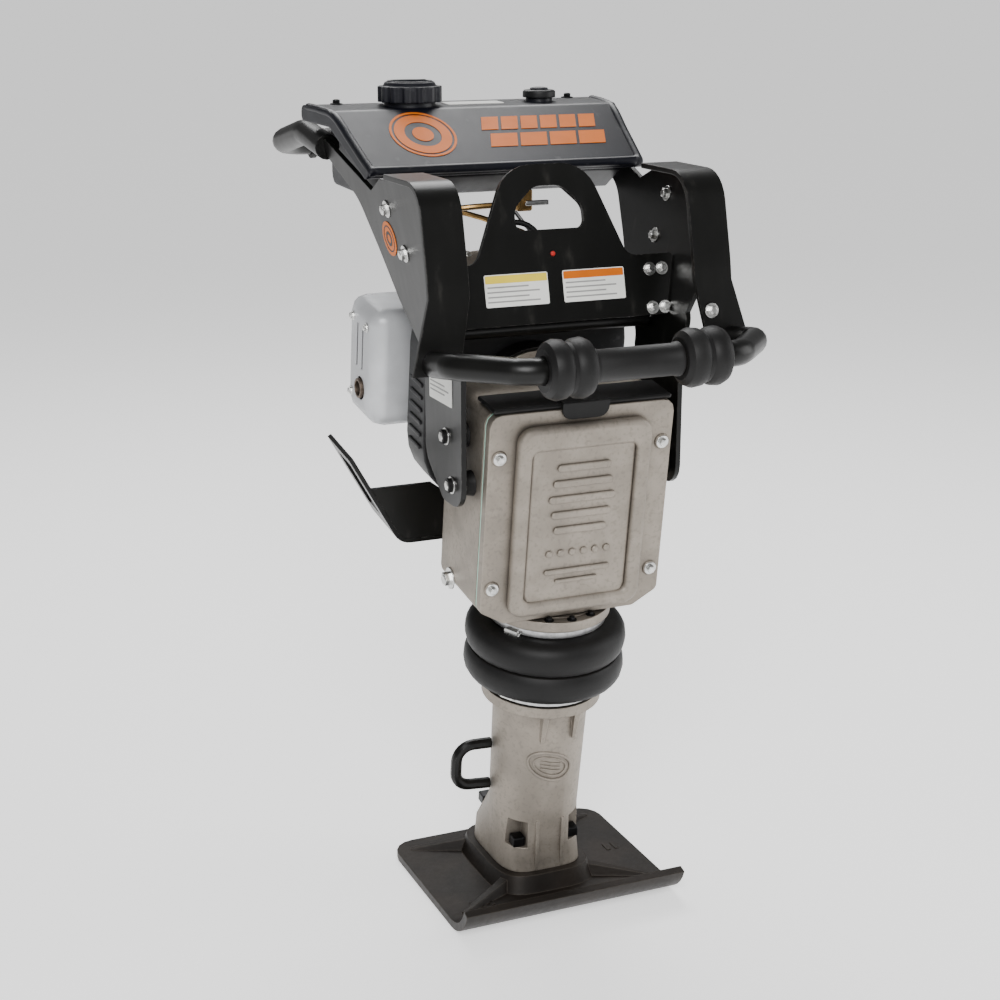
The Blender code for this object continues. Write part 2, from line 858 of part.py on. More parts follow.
def make_bellows(ram):
    turned("bellows", bellows_profile(), "rubber", ram, steps=36)
    outer = CUFF_RADIUS + BELLOWS_WALL + GAP
    for name, low in (
        ("bellows_clamp_lower", LEG_TOP + 0.002),
        ("bellows_clamp_upper", GUIDE_FLANGE_BOTTOM - 0.002 - CUFF_HEIGHT + 0.003),
    ):
        high = low + CUFF_HEIGHT - 0.003
        turned(
            name,
            [(outer, high), (outer + CLAMP_WALL, high), (outer + CLAMP_WALL, low), (outer, low)],
            "steel",
            ram,
            steps=40,
        )


def make_guide(ram):
    flange_top = GUIDE_FLANGE_BOTTOM + GUIDE_FLANGE
    tube_radius = LEG_BORE - SLIDE_GAP
    turned(
        "guide_cylinder",
        [
            (GUIDE_MOUTH, flange_top),
            (GUIDE_FLANGE_RADIUS, flange_top),
            (GUIDE_FLANGE_RADIUS, GUIDE_FLANGE_BOTTOM),
            (tube_radius, GUIDE_FLANGE_BOTTOM),
            (tube_radius, GUIDE_TUBE_BOTTOM),
            (ROD_RADIUS + SLIDE_GAP, GUIDE_TUBE_BOTTOM),
            (ROD_RADIUS + SLIDE_GAP, BUSH_TOP),
            (GUIDE_BORE, BUSH_TOP),
            (GUIDE_BORE, flange_top - GUIDE_MOUTH_DEPTH),
        ],
        "cast_aluminium",
        ram,
        steps=40,
    )


# ---------------------------------------------------------------- crankcase and drive


def case_outline(inset, chamfer_x=0.030, chamfer_z=0.018, radius=0.014):
    """The crankcase seen from the front, (x, height), with its lower corners cut off."""
    half = CASE_HALF_X - inset
    low, high = CASE_BOTTOM + inset, CASE_TOP - inset
    return rounded(
        flat(
            [
                (half, low + chamfer_z, radius * 0.6),
                (half, high, radius),
                (-half, high, radius),
                (-half, low + chamfer_z, radius * 0.6),
                (-half + chamfer_x, low, radius * 0.6),
                (half - chamfer_x, low, radius * 0.6),
            ]
        ),
        3,
    )


def front_plate(name, outlines, near, far, finish, parent):
    """A plate facing forward, from depth near to depth far."""
    place = Matrix.Translation((0, (near + far) / 2, 0)) @ FRONT_PLANE
    return plate(name, outlines, far - near, finish, parent, place)


def round_rear_edges(mesh, thickness, offset):
    bm = bmesh.new()
    bm.from_mesh(mesh)
    rear = -thickness / 2
    edges = [
        edge
        for edge in bm.edges
        if all(abs(v.co.z - rear) < 1e-6 for v in edge.verts)
        and any(face.normal.z > -0.5 for face in edge.link_faces)
    ]
    bmesh.ops.bevel(bm, geom=edges, offset=offset, segments=3, profile=0.5, affect="EDGES")
    bm.to_mesh(mesh)
    bm.free()


def make_crankcase(ram):
    case = front_plate("crankcase", [case_outline(0)], CASE_FRONT, CASE_REAR, "cast_aluminium", ram)
    round_rear_edges(case.data, CASE_REAR - CASE_FRONT, CASE_CORNER)
    neck = rod(
        "case_neck",
        (0, 0, GUIDE_FLANGE_BOTTOM + GUIDE_FLANGE + GAP),
        (0, 0, CASE_BOTTOM + 0.004),
        NECK_RADIUS,
        "cast_aluminium",
        ram,
        36,
    )
    join(case, neck)
    cavity = front_plate(
        "case_cavity",
        [case_outline(CASE_WALL)],
        CASE_FRONT - 0.01,
        CASE_REAR - CASE_WALL,
        "cast_aluminium",
        ram,
    )
    throat = rod(
        "case_throat", (0, 0, 0.33), (0, 0, CASE_BOTTOM + 0.02), NECK_BORE - 0.008, "cast_aluminium", ram
    )
    rear_inside = CASE_REAR - CASE_WALL
    crank_seat = rod(
        "crank_seat",
        (0, rear_inside - 0.01, CRANK_HEIGHT),
        (0, CASE_REAR - 0.0015, CRANK_HEIGHT),
        CRANK_SHAFT_RADIUS + GAP,
        "steel",
        ram,
    )
    pinion_seat = rod(
        "pinion_seat",
        (0, rear_inside - 0.01, ENGINE_HEIGHT),
        (0, CASE_REAR + 0.01, ENGINE_HEIGHT),
        PINION_SHAFT_RADIUS + GAP,
        "steel",
        ram,
    )
    neck_front = box(
        "neck_front",
        (-NECK_RADIUS - 0.01, -NECK_RADIUS - 0.01, CASE_BOTTOM - 0.0006),
        (NECK_RADIUS + 0.01, CASE_FRONT, CASE_BOTTOM + 0.02),
        "cast_aluminium",
        ram,
    )
    cut(case, neck_front, cavity, throat, crank_seat, pinion_seat)


def make_cover(ram):
    gasket_near = CASE_FRONT - GAP - GASKET
    front_plate(
        "cover_gasket",
        [case_outline(0.0005), case_outline(CASE_WALL)],
        gasket_near,
        CASE_FRONT - GAP,
        "rubber",
        ram,
    )
    back = gasket_near - GAP
    cover = front_plate(
        "front_cover", [case_outline(0)], back - COVER_THICKNESS, back, "cast_aluminium", ram
    )
    low, high = CASE_BOTTOM + 0.020, CASE_TOP - 0.022
    front = back - COVER_THICKNESS
    rings = []
    for inset, rise in ((0.0, -0.003), (0.0, 0.003), (0.006, COVER_PANEL_RISE)):
        half = COVER_PANEL_HALF_X - inset
        ring = rounded(
            flat(
                [
                    (half, low + inset, 0.012),
                    (half, high - inset, 0.012),
                    (-half, high - inset, 0.012),
                    (-half, low + inset, 0.012),
                ]
            ),
            3,
        )
        rings.append([Vector((p.x, front - rise, p.y)) for p in ring])
    join(cover, loft("cover_panel", rings, "cast_aluminium", ram))


def make_top_pad(ram):
    """The rubber strip over the front of the crankcase, with a tab that hangs over the cover."""
    near = CASE_FRONT - 0.014
    box(
        "top_pad",
        (-CASE_HALF_X + 0.004, near, CASE_TOP + GAP),
        (CASE_HALF_X - 0.004, near + PAD_DEPTH, CASE_TOP + GAP + PAD_THICKNESS),
        "rubber",
        ram,
        bevel=0.0018,
        segments=1,
    )


def gear_outline(teeth, module, phase, backlash=0.42):
    pitch_radius = module * teeth / 2
    tip = pitch_radius + module * 0.80
    root = pitch_radius - module * 1.05
    step = 2 * math.pi / teeth
    outline = []
    for tooth in range(teeth):
        middle = phase + tooth * step
        for radius, share in ((root, -0.66), (tip, -0.24), (tip, 0.24), (root, 0.66)):
            angle = middle + step * backlash * share
            outline.append(Vector((radius * math.cos(angle), radius * math.sin(angle), 0)))
    return outline


def gear_module():
    return 2 * CENTRE_DISTANCE / (GEAR_TEETH + PINION_TEETH)


def make_crank(crank):
    """The crank gear with its shaft and pin. Its own +Z points back and its +Y down."""
    middle = GEAR_NEAR + GEAR_WIDTH / 2
    gear = plate(
        "crank_gear",
        [gear_outline(GEAR_TEETH, gear_module(), 0.0)],
        GEAR_WIDTH,
        "steel",
        crank,
        Matrix.Translation((0, 0, middle)),
    )
    shaft = rod("crank_shaft", (0, 0, middle), (0, 0, CASE_REAR - 0.0025), CRANK_SHAFT_RADIUS, "steel", crank)
    pin = rod(
        "crank_pin",
        (0, CRANK_THROW, -CON_ROD_HALF - 0.002),
        (0, CRANK_THROW, middle),
        CRANK_PIN_RADIUS,
        "steel",
        crank,
    )
    join(gear, shaft, pin)


def make_con_rod(crank_pin):
    """The connecting rod hangs from the crank pin: +Y of its empty points down the leg."""
    reach = CON_ROD_LENGTH
    lean = math.asin((BIG_END_RADIUS - SMALL_END_RADIUS) / reach)
    outline = []
    for step in range(13):
        angle = math.pi - lean + (math.pi + 2 * lean) * step / 12
        outline.append(Vector((BIG_END_RADIUS * math.cos(angle), BIG_END_RADIUS * math.sin(angle), 0)))
    for step in range(11):
        angle = lean + (math.pi - 2 * lean) * step / 10
        outline.append(
            Vector((SMALL_END_RADIUS * math.cos(angle), reach + SMALL_END_RADIUS * math.sin(angle), 0))
        )
    plate(
        "connecting_rod",
        [outline, circle(0, 0, CRANK_PIN_RADIUS + GAP), circle(0, reach, WRIST_PIN_RADIUS + GAP)],
        2 * CON_ROD_HALF,
        "steel",
        crank_pin,
    )
    half = FORK_SLOT_HALF - 0.0007
    rod("wrist_pin", (0, reach, -half), (0, reach, half), WRIST_PIN_RADIUS, "steel", crank_pin)


def make_pinion(engine_axis):
    """The pinion on the clutch drum's shaft."""
    middle = GEAR_NEAR + GEAR_WIDTH / 2
    half_tooth = math.pi / PINION_TEETH
    pinion = plate(
        "clutch_pinion",
        [gear_outline(PINION_TEETH, gear_module(), half_tooth)],
        GEAR_WIDTH,
        "steel",
        engine_axis,
        Matrix.Translation((0, 0, middle)),
    )
    shaft = rod(
        "pinion_shaft", (0, 0, middle), (0, 0, DRUM_NEAR + 0.001), PINION_SHAFT_RADIUS, "steel", engine_axis
    )
    far = DRUM_NEAR + DRUM_DEPTH
    drum = turned(
        "clutch_drum",
        [
            (0, DRUM_NEAR + DRUM_WALL),
            (DRUM_RADIUS - DRUM_WALL, DRUM_NEAR + DRUM_WALL),
            (DRUM_RADIUS - DRUM_WALL, far),
            (DRUM_RADIUS, far),
            (DRUM_RADIUS, DRUM_NEAR),
            (0, DRUM_NEAR),
        ],
        "steel",
        engine_axis,
    )
    join(pinion, shaft, drum)


def make_engine_shaft(engine_axis):
    """The engine's crankshaft with the clutch hub in front and the flywheel behind."""
    hub_near = DRUM_NEAR + DRUM_WALL + 0.002
    hub_far = DRUM_NEAR + DRUM_DEPTH - 0.002
    hub_radius = DRUM_RADIUS - DRUM_WALL - 0.002
    wheel_near = ENGINE_REAR + 0.006
    wheel_far = wheel_near + 0.016
    turned(
        "engine_crankshaft",
        [
            (0, wheel_far),
            (FLYWHEEL_RADIUS, wheel_far),
            (FLYWHEEL_RADIUS, wheel_near),
            (ENGINE_SHAFT_RADIUS, wheel_near),
            (ENGINE_SHAFT_RADIUS, hub_far),
            (hub_radius, hub_far),
            (hub_radius, hub_near),
            (0, hub_near),
        ],
        "steel",
        engine_axis,
    )


# ---------------------------------------------------------------- engine


def make_engine_block(ram, engine_axis):
    bell_near = CASE_REAR + GAP
    bell_far = bell_near + ENGINE_BELL_DEPTH
    block = box(
        "engine_block",
        (-ENGINE_HALF_X, bell_far - 0.004, ENGINE_BOTTOM),
        (ENGINE_HALF_X, ENGINE_REAR, ENGINE_TOP),
        "cast_aluminium",
        ram,
        bevel=0.010,
    )
    bell = rod(
        "engine_bell",
        (0, 0, bell_near),
        (0, 0, bell_far),
        ENGINE_BELL_RADIUS,
        "cast_aluminium",
        engine_axis,
        36,
    )
    sump = box(
        "engine_sump",
        (-SUMP_HALF_X, FAN_NEAR + FAN_DEPTH + 0.001, CRADLE_BOTTOM + CRADLE_PLATE / 2 + GAP),
        (SUMP_HALF_X, CRADLE_NEAR + CRADLE_DEPTH - 0.004, ENGINE_BOTTOM + 0.012),
        "cast_aluminium",
        ram,
        bevel=0.005,
        segments=1,
    )
    join(block, bell, sump)
    clutch_room = rod(
        "clutch_room",
        (0, 0, bell_near - 0.01),
        (0, 0, DRUM_NEAR + DRUM_DEPTH + 0.0035),
        DRUM_RADIUS + 0.003,
        "cast_aluminium",
        engine_axis,
        32,
    )
    shaft_bore = rod(
        "engine_bore",
        (0, 0, bell_near),
        (0, 0, ENGINE_REAR + 0.01),
        ENGINE_SHAFT_RADIUS + GAP,
        "cast_aluminium",
        engine_axis,
    )
    cut(block, clutch_room, shaft_bore)


def make_fan_housing(ram):
    """The black shroud round the engine's bell."""
    half = FAN_HALF_X
    outline = rounded(
        flat(
            [
                (half, FAN_BOTTOM, 0.075),
                (half, FAN_TOP, 0.050),
                (-half, FAN_TOP, 0.050),
                (-half, FAN_BOTTOM, 0.075),
            ]
        ),
        6,
    )
    front_plate(
        "fan_housing",
        [outline, circle(0, ENGINE_HEIGHT, ENGINE_BELL_RADIUS + GAP + 0.0007, 36)],
        FAN_NEAR,
        FAN_NEAR + FAN_DEPTH,
        "black_plastic",
        ram,
    )


def make_barrel(ram):
    """The finned cylinder, with the spark plug's cap on it."""
    low = ENGINE_TOP + GAP
    pitch = (BARREL_TOP - low) / FIN_COUNT
    profile = [(0, BARREL_TOP)]
    for fin in range(FIN_COUNT):
        top = BARREL_TOP - fin * pitch
        profile += [(0.043, top), (0.043, top - pitch * 0.4)]
        if fin < FIN_COUNT - 1:
            profile += [(0.032, top - pitch * 0.4), (0.032, top - pitch)]
        else:
            profile += [(0.032, top - pitch * 0.4), (0.032, low)]
    profile.append((0, low))
    place = Matrix.Translation((0, BARREL_Y, 0))
    turned("engine_cylinder", profile, "cast_aluminium", ram, place, steps=20)
    cap_low = BARREL_TOP + GAP
    turned(
        "spark_plug_cap",
        [(0, cap_low + 0.026), (0.007, cap_low + 0.024),
         (0.009, cap_low + 0.012), (0.009, cap_low), (0, cap_low)],
        "rubber",
        ram,
        place,
        steps=16,
    )


def make_muffler(ram):
    low, high = Vector(MUFFLER_BOX[0]), Vector(MUFFLER_BOX[1])
    guard = box("muffler_guard", low, high, "silver_paint", ram, bevel=0.020, segments=3)
    wall = Vector((GUARD_WALL, GUARD_WALL, GUARD_WALL))
    inside_high = high - wall
    inside_high.x = high.x + 0.01
    hollow = box("guard_hollow", low + wall, inside_high, "silver_paint", ram, bevel=0.018, segments=3)
    middle_y = (low.y + high.y) / 2
    outlet = rod(
        "guard_outlet",
        (low.x - 0.01, middle_y - 0.006, low.z + 0.040),
        (low.x + 0.01, middle_y - 0.006, low.z + 0.040),
        0.014,
        "silver_paint",
        ram,
    )
    cut(guard, hollow, outlet)
    for row in range(2):
        y = middle_y - 0.012 + 0.018 * row
        slot = box(
            f"guard_slot_{row}",
            (low.x - 0.01, y, low.z + 0.064),
            (low.x + 0.01, y + 0.006, high.z - 0.028),
            "silver_paint",
            ram,
        )
        cut(guard, slot)
    inset = Vector((0.010, 0.010, 0.012))
    box(
        "muffler",
        low + inset,
        (-ENGINE_HALF_X - GAP, high.y - 0.026, high.z - 0.016),
        "spring_steel",
        ram,
        bevel=0.010,
    )


def make_intake(ram):
    """The carburettor and the air cleaner on the engine's right side."""
    near = ENGINE_HALF_X + GAP
    far = near + CARB_REACH
    box(
        "carburettor",
        (near, CARB_Y - CARB_HALF, CARB_HEIGHT - CARB_HALF),
        (far, CARB_Y + CARB_HALF, CARB_HEIGHT + CARB_HALF),
        "cast_aluminium",
        ram,
        bevel=0.004,
        segments=1,
    )
    box(
        "air_cleaner",
        (far + GAP, CARB_Y - 0.034, CARB_HEIGHT - 0.050),
        (CLEANER_REACH, CARB_Y + 0.048, CARB_HEIGHT + 0.062),
        "black_plastic",
        ram,
        bevel=0.014,
    )


def make_starter(ram, engine_axis):
    """The recoil starter's housing, its pull grip and the stop switch."""
    near = ENGINE_REAR + GAP
    far = near + STARTER_DEPTH
    turned(
        "starter_cover",
        [
            (0, far),
            (STARTER_RADIUS - 0.014, far),
            (STARTER_RADIUS, far - 0.012),
            (STARTER_RADIUS, near),
            (STARTER_RADIUS - 0.004, near),
            (STARTER_RADIUS - 0.004, far - 0.012),
            (STARTER_RADIUS - 0.016, far - 0.004),
            (0, far - 0.004),
        ],
        "black_plastic",
        engine_axis,
        steps=32,
    )
    grip_z = ENGINE_HEIGHT + STARTER_RADIUS + GAP
    y = near + 0.018
    tube(
        "starter_grip",
        [(-0.020, y, grip_z + 0.012), (-0.010, y, grip_z + 0.0085),
         (0.010, y, grip_z + 0.0085), (0.020, y, grip_z + 0.012)],
        0.008,
        "black_plastic",
        ram,
        resolution=2,
    )
    switch_z = ENGINE_BOTTOM + 0.015
    box(
        "stop_switch",
        (-ENGINE_HALF_X - GAP - 0.012, 0.222, switch_z - 0.009),
        (-ENGINE_HALF_X - GAP, 0.240, switch_z + 0.009),
        "red_plastic",
        ram,
        bevel=0.003,
        segments=1,
    )


def cradle_strip():
    """The cradle's strip seen from the front: two wings that rise from a flat floor."""
    half = CRADLE_PLATE / 2
    corners = [
        (-CRADLE_TIP_X, CRADLE_TIP, 0),
        (-CRADLE_HALF_X, CRADLE_BOTTOM, 0.022),
        (CRADLE_HALF_X, CRADLE_BOTTOM, 0.022),
        (CRADLE_TIP_X, CRADLE_TIP, 0),
    ]
    middle = rounded(flat(corners), 5, closed=False)
    sides = []
    for sign in (-1, 1):
        run = []
        for i, point in enumerate(middle):
            before = middle[max(i - 1, 0)]
            after = middle[min(i + 1, len(middle) - 1)]
            along = (after - before).normalized()
            run.append(point + sign * half * Vector((-along.y, along.x, 0)))
        sides.append(run)
    return sides[0] + sides[1][::-1]


def make_cradle(ram):
    """The steel cradle that guards the engine from below and from the sides."""
    near, far = CRADLE_NEAR, CRADLE_NEAR + CRADLE_DEPTH
    cradle = front_plate("engine_cradle", [cradle_strip()], near, far, "black_paint", ram)
    web_top = CRADLE_BOTTOM + 0.072
    slope = (CRADLE_TIP_X - CRADLE_HALF_X) / (CRADLE_TIP - CRADLE_BOTTOM)
    web_top_x = CRADLE_HALF_X + slope * (web_top - CRADLE_BOTTOM)
    web = front_plate(
        "cradle_web",
        [
            rounded(
                flat(
                    [
                        (-web_top_x, web_top, 0.002),
                        (-CRADLE_HALF_X, CRADLE_BOTTOM, 0.022),
                        (CRADLE_HALF_X, CRADLE_BOTTOM, 0.022),
                        (web_top_x, web_top, 0.002),
                    ]
                ),
                5,
            )
        ],
        near + 0.0004,
        near + CRADLE_PLATE,
        "black_paint",
        ram,
    )
    join(cradle, web)
    relief = front_plate(
        "cradle_relief",
        [
            rounded(
                flat(
                    [
                        (FAN_HALF_X + 0.003, FAN_BOTTOM - 0.003, 0.075),
                        (FAN_HALF_X + 0.003, FAN_TOP, 0.050),
                        (-FAN_HALF_X - 0.003, FAN_TOP, 0.050),
                        (-FAN_HALF_X - 0.003, FAN_BOTTOM - 0.003, 0.075),
                    ]
                ),
                6,
            )
        ],
        near - 0.01,
        near + CRADLE_PLATE + 0.01,
        "black_paint",
        ram,
    )
    slots = box(
        "cradle_slots",
        (-0.3, near + 0.018, CRADLE_BOTTOM + 0.030),
        (0.3, far - 0.018, CRADLE_TIP - 0.014),
        "black_paint",
        ram,
    )
    cut(cradle, relief, slots)


# ---------------------------------------------------------------- lifting frame


def band_corners():
    """The middle line of an arm band, (y, z, radius), from its rear end over the top and down."""
    return [
        (0.004, BAND_TOP_Z, 0),
        (-0.098, BAND_TOP_Z, 0.038),
        (-0.121, 0.765, 0.300),
        (BAND_LOW_Y, BAND_LOW_Z, 0),
    ]


def offset_run(run, distance):
    """A run of points in the side plane moved to its left by a distance."""
    moved = []
    for i, point in enumerate(run):
        along = (run[min(i + 1, len(run) - 1)] - run[max(i - 1, 0)]).normalized()
        moved.append(point + distance * Vector((-along.y, along.x, 0)))
    return moved


def make_band(frame, name, side):
    middle = rounded(flat(band_corners()), 6, closed=False)
    half = BAND_THICKNESS / 2
    outline = offset_run(middle, half) + offset_run(middle, -half)[::-1]
    place = Matrix.Translation((side * BAND_CENTRE_X, 0, 0)) @ SIDE_PLANE
    band = plate(name, [outline], BAND_WIDTH, "black_paint", frame, frame.matrix_world.inverted() @ place)
    flare(band.data, side)
    return band


def flare(mesh, side):
    """Sweeps the band outwards below the flare height. The mesh lies in (y, z, x)."""
    bm = bmesh.new()
    bm.from_mesh(mesh)
    geometry = [*bm.verts, *bm.edges, *bm.faces]
    bmesh.ops.bisect_plane(bm, geom=geometry, plane_co=(0, FLARE_START_Z, 0), plane_no=(0, 1, 0))
    for vertex in bm.verts:
        share = max(0.0, (FLARE_START_Z - vertex.co.y) / (FLARE_START_Z - BAND_LOW_Z))
        sweep = FLARE_OUTER if vertex.co.z * side > 0 else FLARE_INNER
        vertex.co.z += side * sweep * share
    bm.to_mesh(mesh)
    bm.free()


def under_tank(y):
    """The height of the side plates' top edge below the tank."""
    slope = (TANK_REAR[1] - TANK_FRONT[1]) / (TANK_REAR[0] - TANK_FRONT[0])
    return TANK_FRONT[1] - TANK_HOOD * 0.7 - 0.010 + slope * (y - TANK_FRONT[0])


def plate_tail():
    """The top rear corner of the side plates, where the operator's handle starts."""
    tail_y = TANK_FRONT[0] + 0.134
    return tail_y, under_tank(tail_y)


def side_outline():
    """The side plate, (y, z): it fills the band's hook and runs back under the tank."""
    middle = rounded(flat(band_corners()), 6, closed=False)
    under_band = offset_run(middle, BAND_THICKNESS / 2 + GAP)
    along_band = [point for point in under_band if point.y > 0.720]
    tail_y, tail_top = plate_tail()
    lower = rounded(
        flat(
            [
                (0.028, BAND_TOP_Z - BAND_THICKNESS / 2 - GAP, 0.004),
                (TANK_FRONT[0] - 0.003, under_tank(TANK_FRONT[0]), 0.006),
                (tail_y, tail_top, 0.003),
                (tail_y, tail_top - 2 * TAIL_HALF, 0.006),
                (0.120, 0.822, 0.060),
                (0.082, 0.770, 0.060),
                (0.047, 0.716, 0.060),
                (0.002, 0.664, 0.030),
                (0.002, 0.550, 0.030),
                (-0.050, SIDE_BOTTOM_Z, 0.024),
                (SIDE_FRONT_Y, SIDE_BOTTOM_Z, 0.024),
                (SIDE_FRONT_Y, 0.700, 0.020),
            ]
        ),
        4,
    )
    return lower + along_band[::-1]


def splay(mesh, side):
    """Bends a side plate outwards above the splay height. The mesh lies in (y, z, x)."""
    bm = bmesh.new()
    bm.from_mesh(mesh)
    geometry = [*bm.verts, *bm.edges, *bm.faces]
    bmesh.ops.bisect_plane(bm, geom=geometry, plane_co=(0, SPLAY_START_Z, 0), plane_no=(0, 1, 0))
    for vertex in bm.verts:
        vertex.co.z += side * (side_x(vertex.co.y) - SIDE_HALF_X)
    bm.to_mesh(mesh)
    bm.free()


def make_side_plate(frame, name, side):
    place = frame.matrix_world.inverted() @ Matrix.Translation((side * SIDE_HALF_X, 0, 0)) @ SIDE_PLANE
    holes = [circle(y, z, 0.0052, 12) for y, z in MOUNT_POINTS]
    obj = plate(name, [side_outline(), *holes], SIDE_PLATE, "black_paint", frame, place)
    splay(obj.data, side)
    return obj


def make_shock_mounts(frame):
    """Rubber mounts between the crankcase and the side plates, each with its bolt head outside."""
    for side, side_name in ((-1, "left"), (1, "right")):
        for row, (y, z) in zip(("upper", "lower"), MOUNT_POINTS):
            inner = CASE_HALF_X + GAP
            plate_in = SIDE_HALF_X - SIDE_PLATE / 2 - GAP
            plate_out = SIDE_HALF_X + SIDE_PLATE / 2 + GAP
            place = (
                frame.matrix_world.inverted() @ Matrix.Translation((0, y, z))
                @ Matrix.Rotation(side * math.pi / 2, 4, "Y")
            )
            turned(
                f"shock_mount_{row}_{side_name}",
                [
                    (0, plate_out + 0.007),
                    (0.008, plate_out + 0.006),
                    (0.008, plate_out),
                    (0.0049, plate_out),
                    (0.0049, plate_in),
                    (MOUNT_RADIUS, plate_in),
                    (MOUNT_RADIUS - 0.0015, (plate_in + inner) / 2),
                    (MOUNT_RADIUS, inner),
                    (0, inner),
                ],
                "rubber",
                frame,
                place,
                steps=16,
            )


def make_front_bar(frame):
    to_frame = frame.matrix_world.inverted()
    on_band, forward = band_face(BAR_Z - 0.009)
    start = on_band + forward * (BAND_THICKNESS / 2 + GAP)
    ahead = on_band + forward * 0.052
    corners = []
    for side in (-1, 1):
        half = [
            (side * BAR_HALF_X, start.y, start.z, 0),
            (side * BAR_HALF_X, ahead.y, ahead.z, 0.026),
            (side * 0.121, BAR_FRONT_Y, BAR_Z, 0.034),
        ]
        corners += half if side < 0 else half[::-1]
    route = [to_frame @ point for point in rounded(corners, 6, closed=False)]
    tube("front_bar", route, BAR_RADIUS, "black_paint", frame, resolution=6)
    for side, name in ((-1, "roller_left"), (1, "roller_right")):
        half = ROLLER_LENGTH / 2
        bore = BAR_RADIUS + SLIDE_GAP
        groove = ROLLER_RADIUS - 0.004
        place = to_frame @ Matrix.Translation((side * ROLLER_X, BAR_FRONT_Y, BAR_Z)) @ FACE_SIDE
        turned(
            name,
            [
                (bore, half),
                (ROLLER_RADIUS - 0.009, half),
                (ROLLER_RADIUS - 0.003, half - 0.004),
                (ROLLER_RADIUS, half - 0.011),
                (ROLLER_RADIUS - 0.001, 0.006),
                (groove, 0.002),
                (groove, -0.002),
                (ROLLER_RADIUS - 0.001, -0.006),
                (ROLLER_RADIUS, 0.011 - half),
                (ROLLER_RADIUS - 0.003, 0.004 - half),
                (ROLLER_RADIUS - 0.009, -half),
                (bore, -half),
            ],
            "black_plastic",
            frame,
            place,
            steps=28,
        )


def band_face(z):
    """A point on the band's middle line on its lower run, and the way its front face points."""
    upper, lower = Vector((0, *band_corners()[2][:2])), Vector((0, *band_corners()[3][:2]))
    along = (lower - upper).normalized()
    return upper + along * ((z - upper.z) / along.z), Vector((0, along.z, -along.y))


def lift_outline():
    """The lifting plate in its own plane: x sideways, y up the slope from its bottom edge."""
    stretch = math.hypot(1, LIFT_SLOPE)
    clear = SIDE_PLATE / 2 + 0.0016

    def up(z):
        return (z - LIFT_BOTTOM_Z) * stretch

    low_x = side_x(LIFT_BOTTOM_Z) - clear
    wing_x = side_x(LIFT_WING_Z) - clear
    right = [
        (low_x, 0, 0.003),
        (wing_x, up(LIFT_WING_Z), 0.004),
        (0.091, up(LIFT_WING_Z), 0.016),
        (0.0475, up(LIFT_APEX_Z), 0.044),
    ]
    left = [(-x, y, radius) for x, y, radius in reversed(right)]
    return rounded(flat(right + left), 5)


def lift_hole():
    stretch = math.hypot(1, LIFT_SLOPE)
    low = (0.797 - LIFT_BOTTOM_Z) * stretch
    high = (0.843 - LIFT_BOTTOM_Z) * stretch
    return rounded(
        flat([(0.041, low, 0.009), (0.041, low + 0.024, 0.020), (0.016, high, 0.020),
              (-0.016, high, 0.020), (-0.041, low + 0.024, 0.020), (-0.041, low, 0.009)]),
        7,
    )


def make_lift_plate(frame):
    lean = math.atan(LIFT_SLOPE)
    place = (
        frame.matrix_world.inverted()
        @ Matrix.Translation((0, LIFT_FOOT_Y, LIFT_BOTTOM_Z))
        @ Matrix.Rotation(math.pi / 2 - lean, 4, "X")
    )
    plate("lift_plate", [lift_outline(), lift_hole()], LIFT_PLATE, "black_paint", frame, place)
    y, z = CROSS_TUBE_YZ
    half = side_x(z - CROSS_TUBE_RADIUS) - SIDE_PLATE / 2 - GAP - 0.0002
    to_frame = frame.matrix_world.inverted()
    rod(
        "cross_tube",
        to_frame @ Vector((-half, y, z)),
        to_frame @ Vector((half, y, z)),
        CROSS_TUBE_RADIUS,
        "black_paint",
        frame,
        20,
    )


# ---------------------------------------------------------------- tank, handle and controls


def hood_outline():
    """The tank's lid in side view, (y, z): a slope to the crest, then a top that overhangs at the rear."""
    return rounded(
        flat(
            [
                (*TANK_FRONT, 0.004),
                (TANK_FRONT[0] + 0.010, TANK_FRONT[1] - TANK_HOOD * 0.7, 0.004),
                (TANK_CREST[0], TANK_CREST[1] - TANK_HOOD * 1.4, 0.010),
                (TANK_TAIL_Y, TANK_REAR[1] - TANK_HOOD * 1.4, 0.006),
                (TANK_TAIL_Y, TANK_REAR[1], 0.008),
                (*TANK_CREST, 0.014),
            ]
        ),
        4,
    )


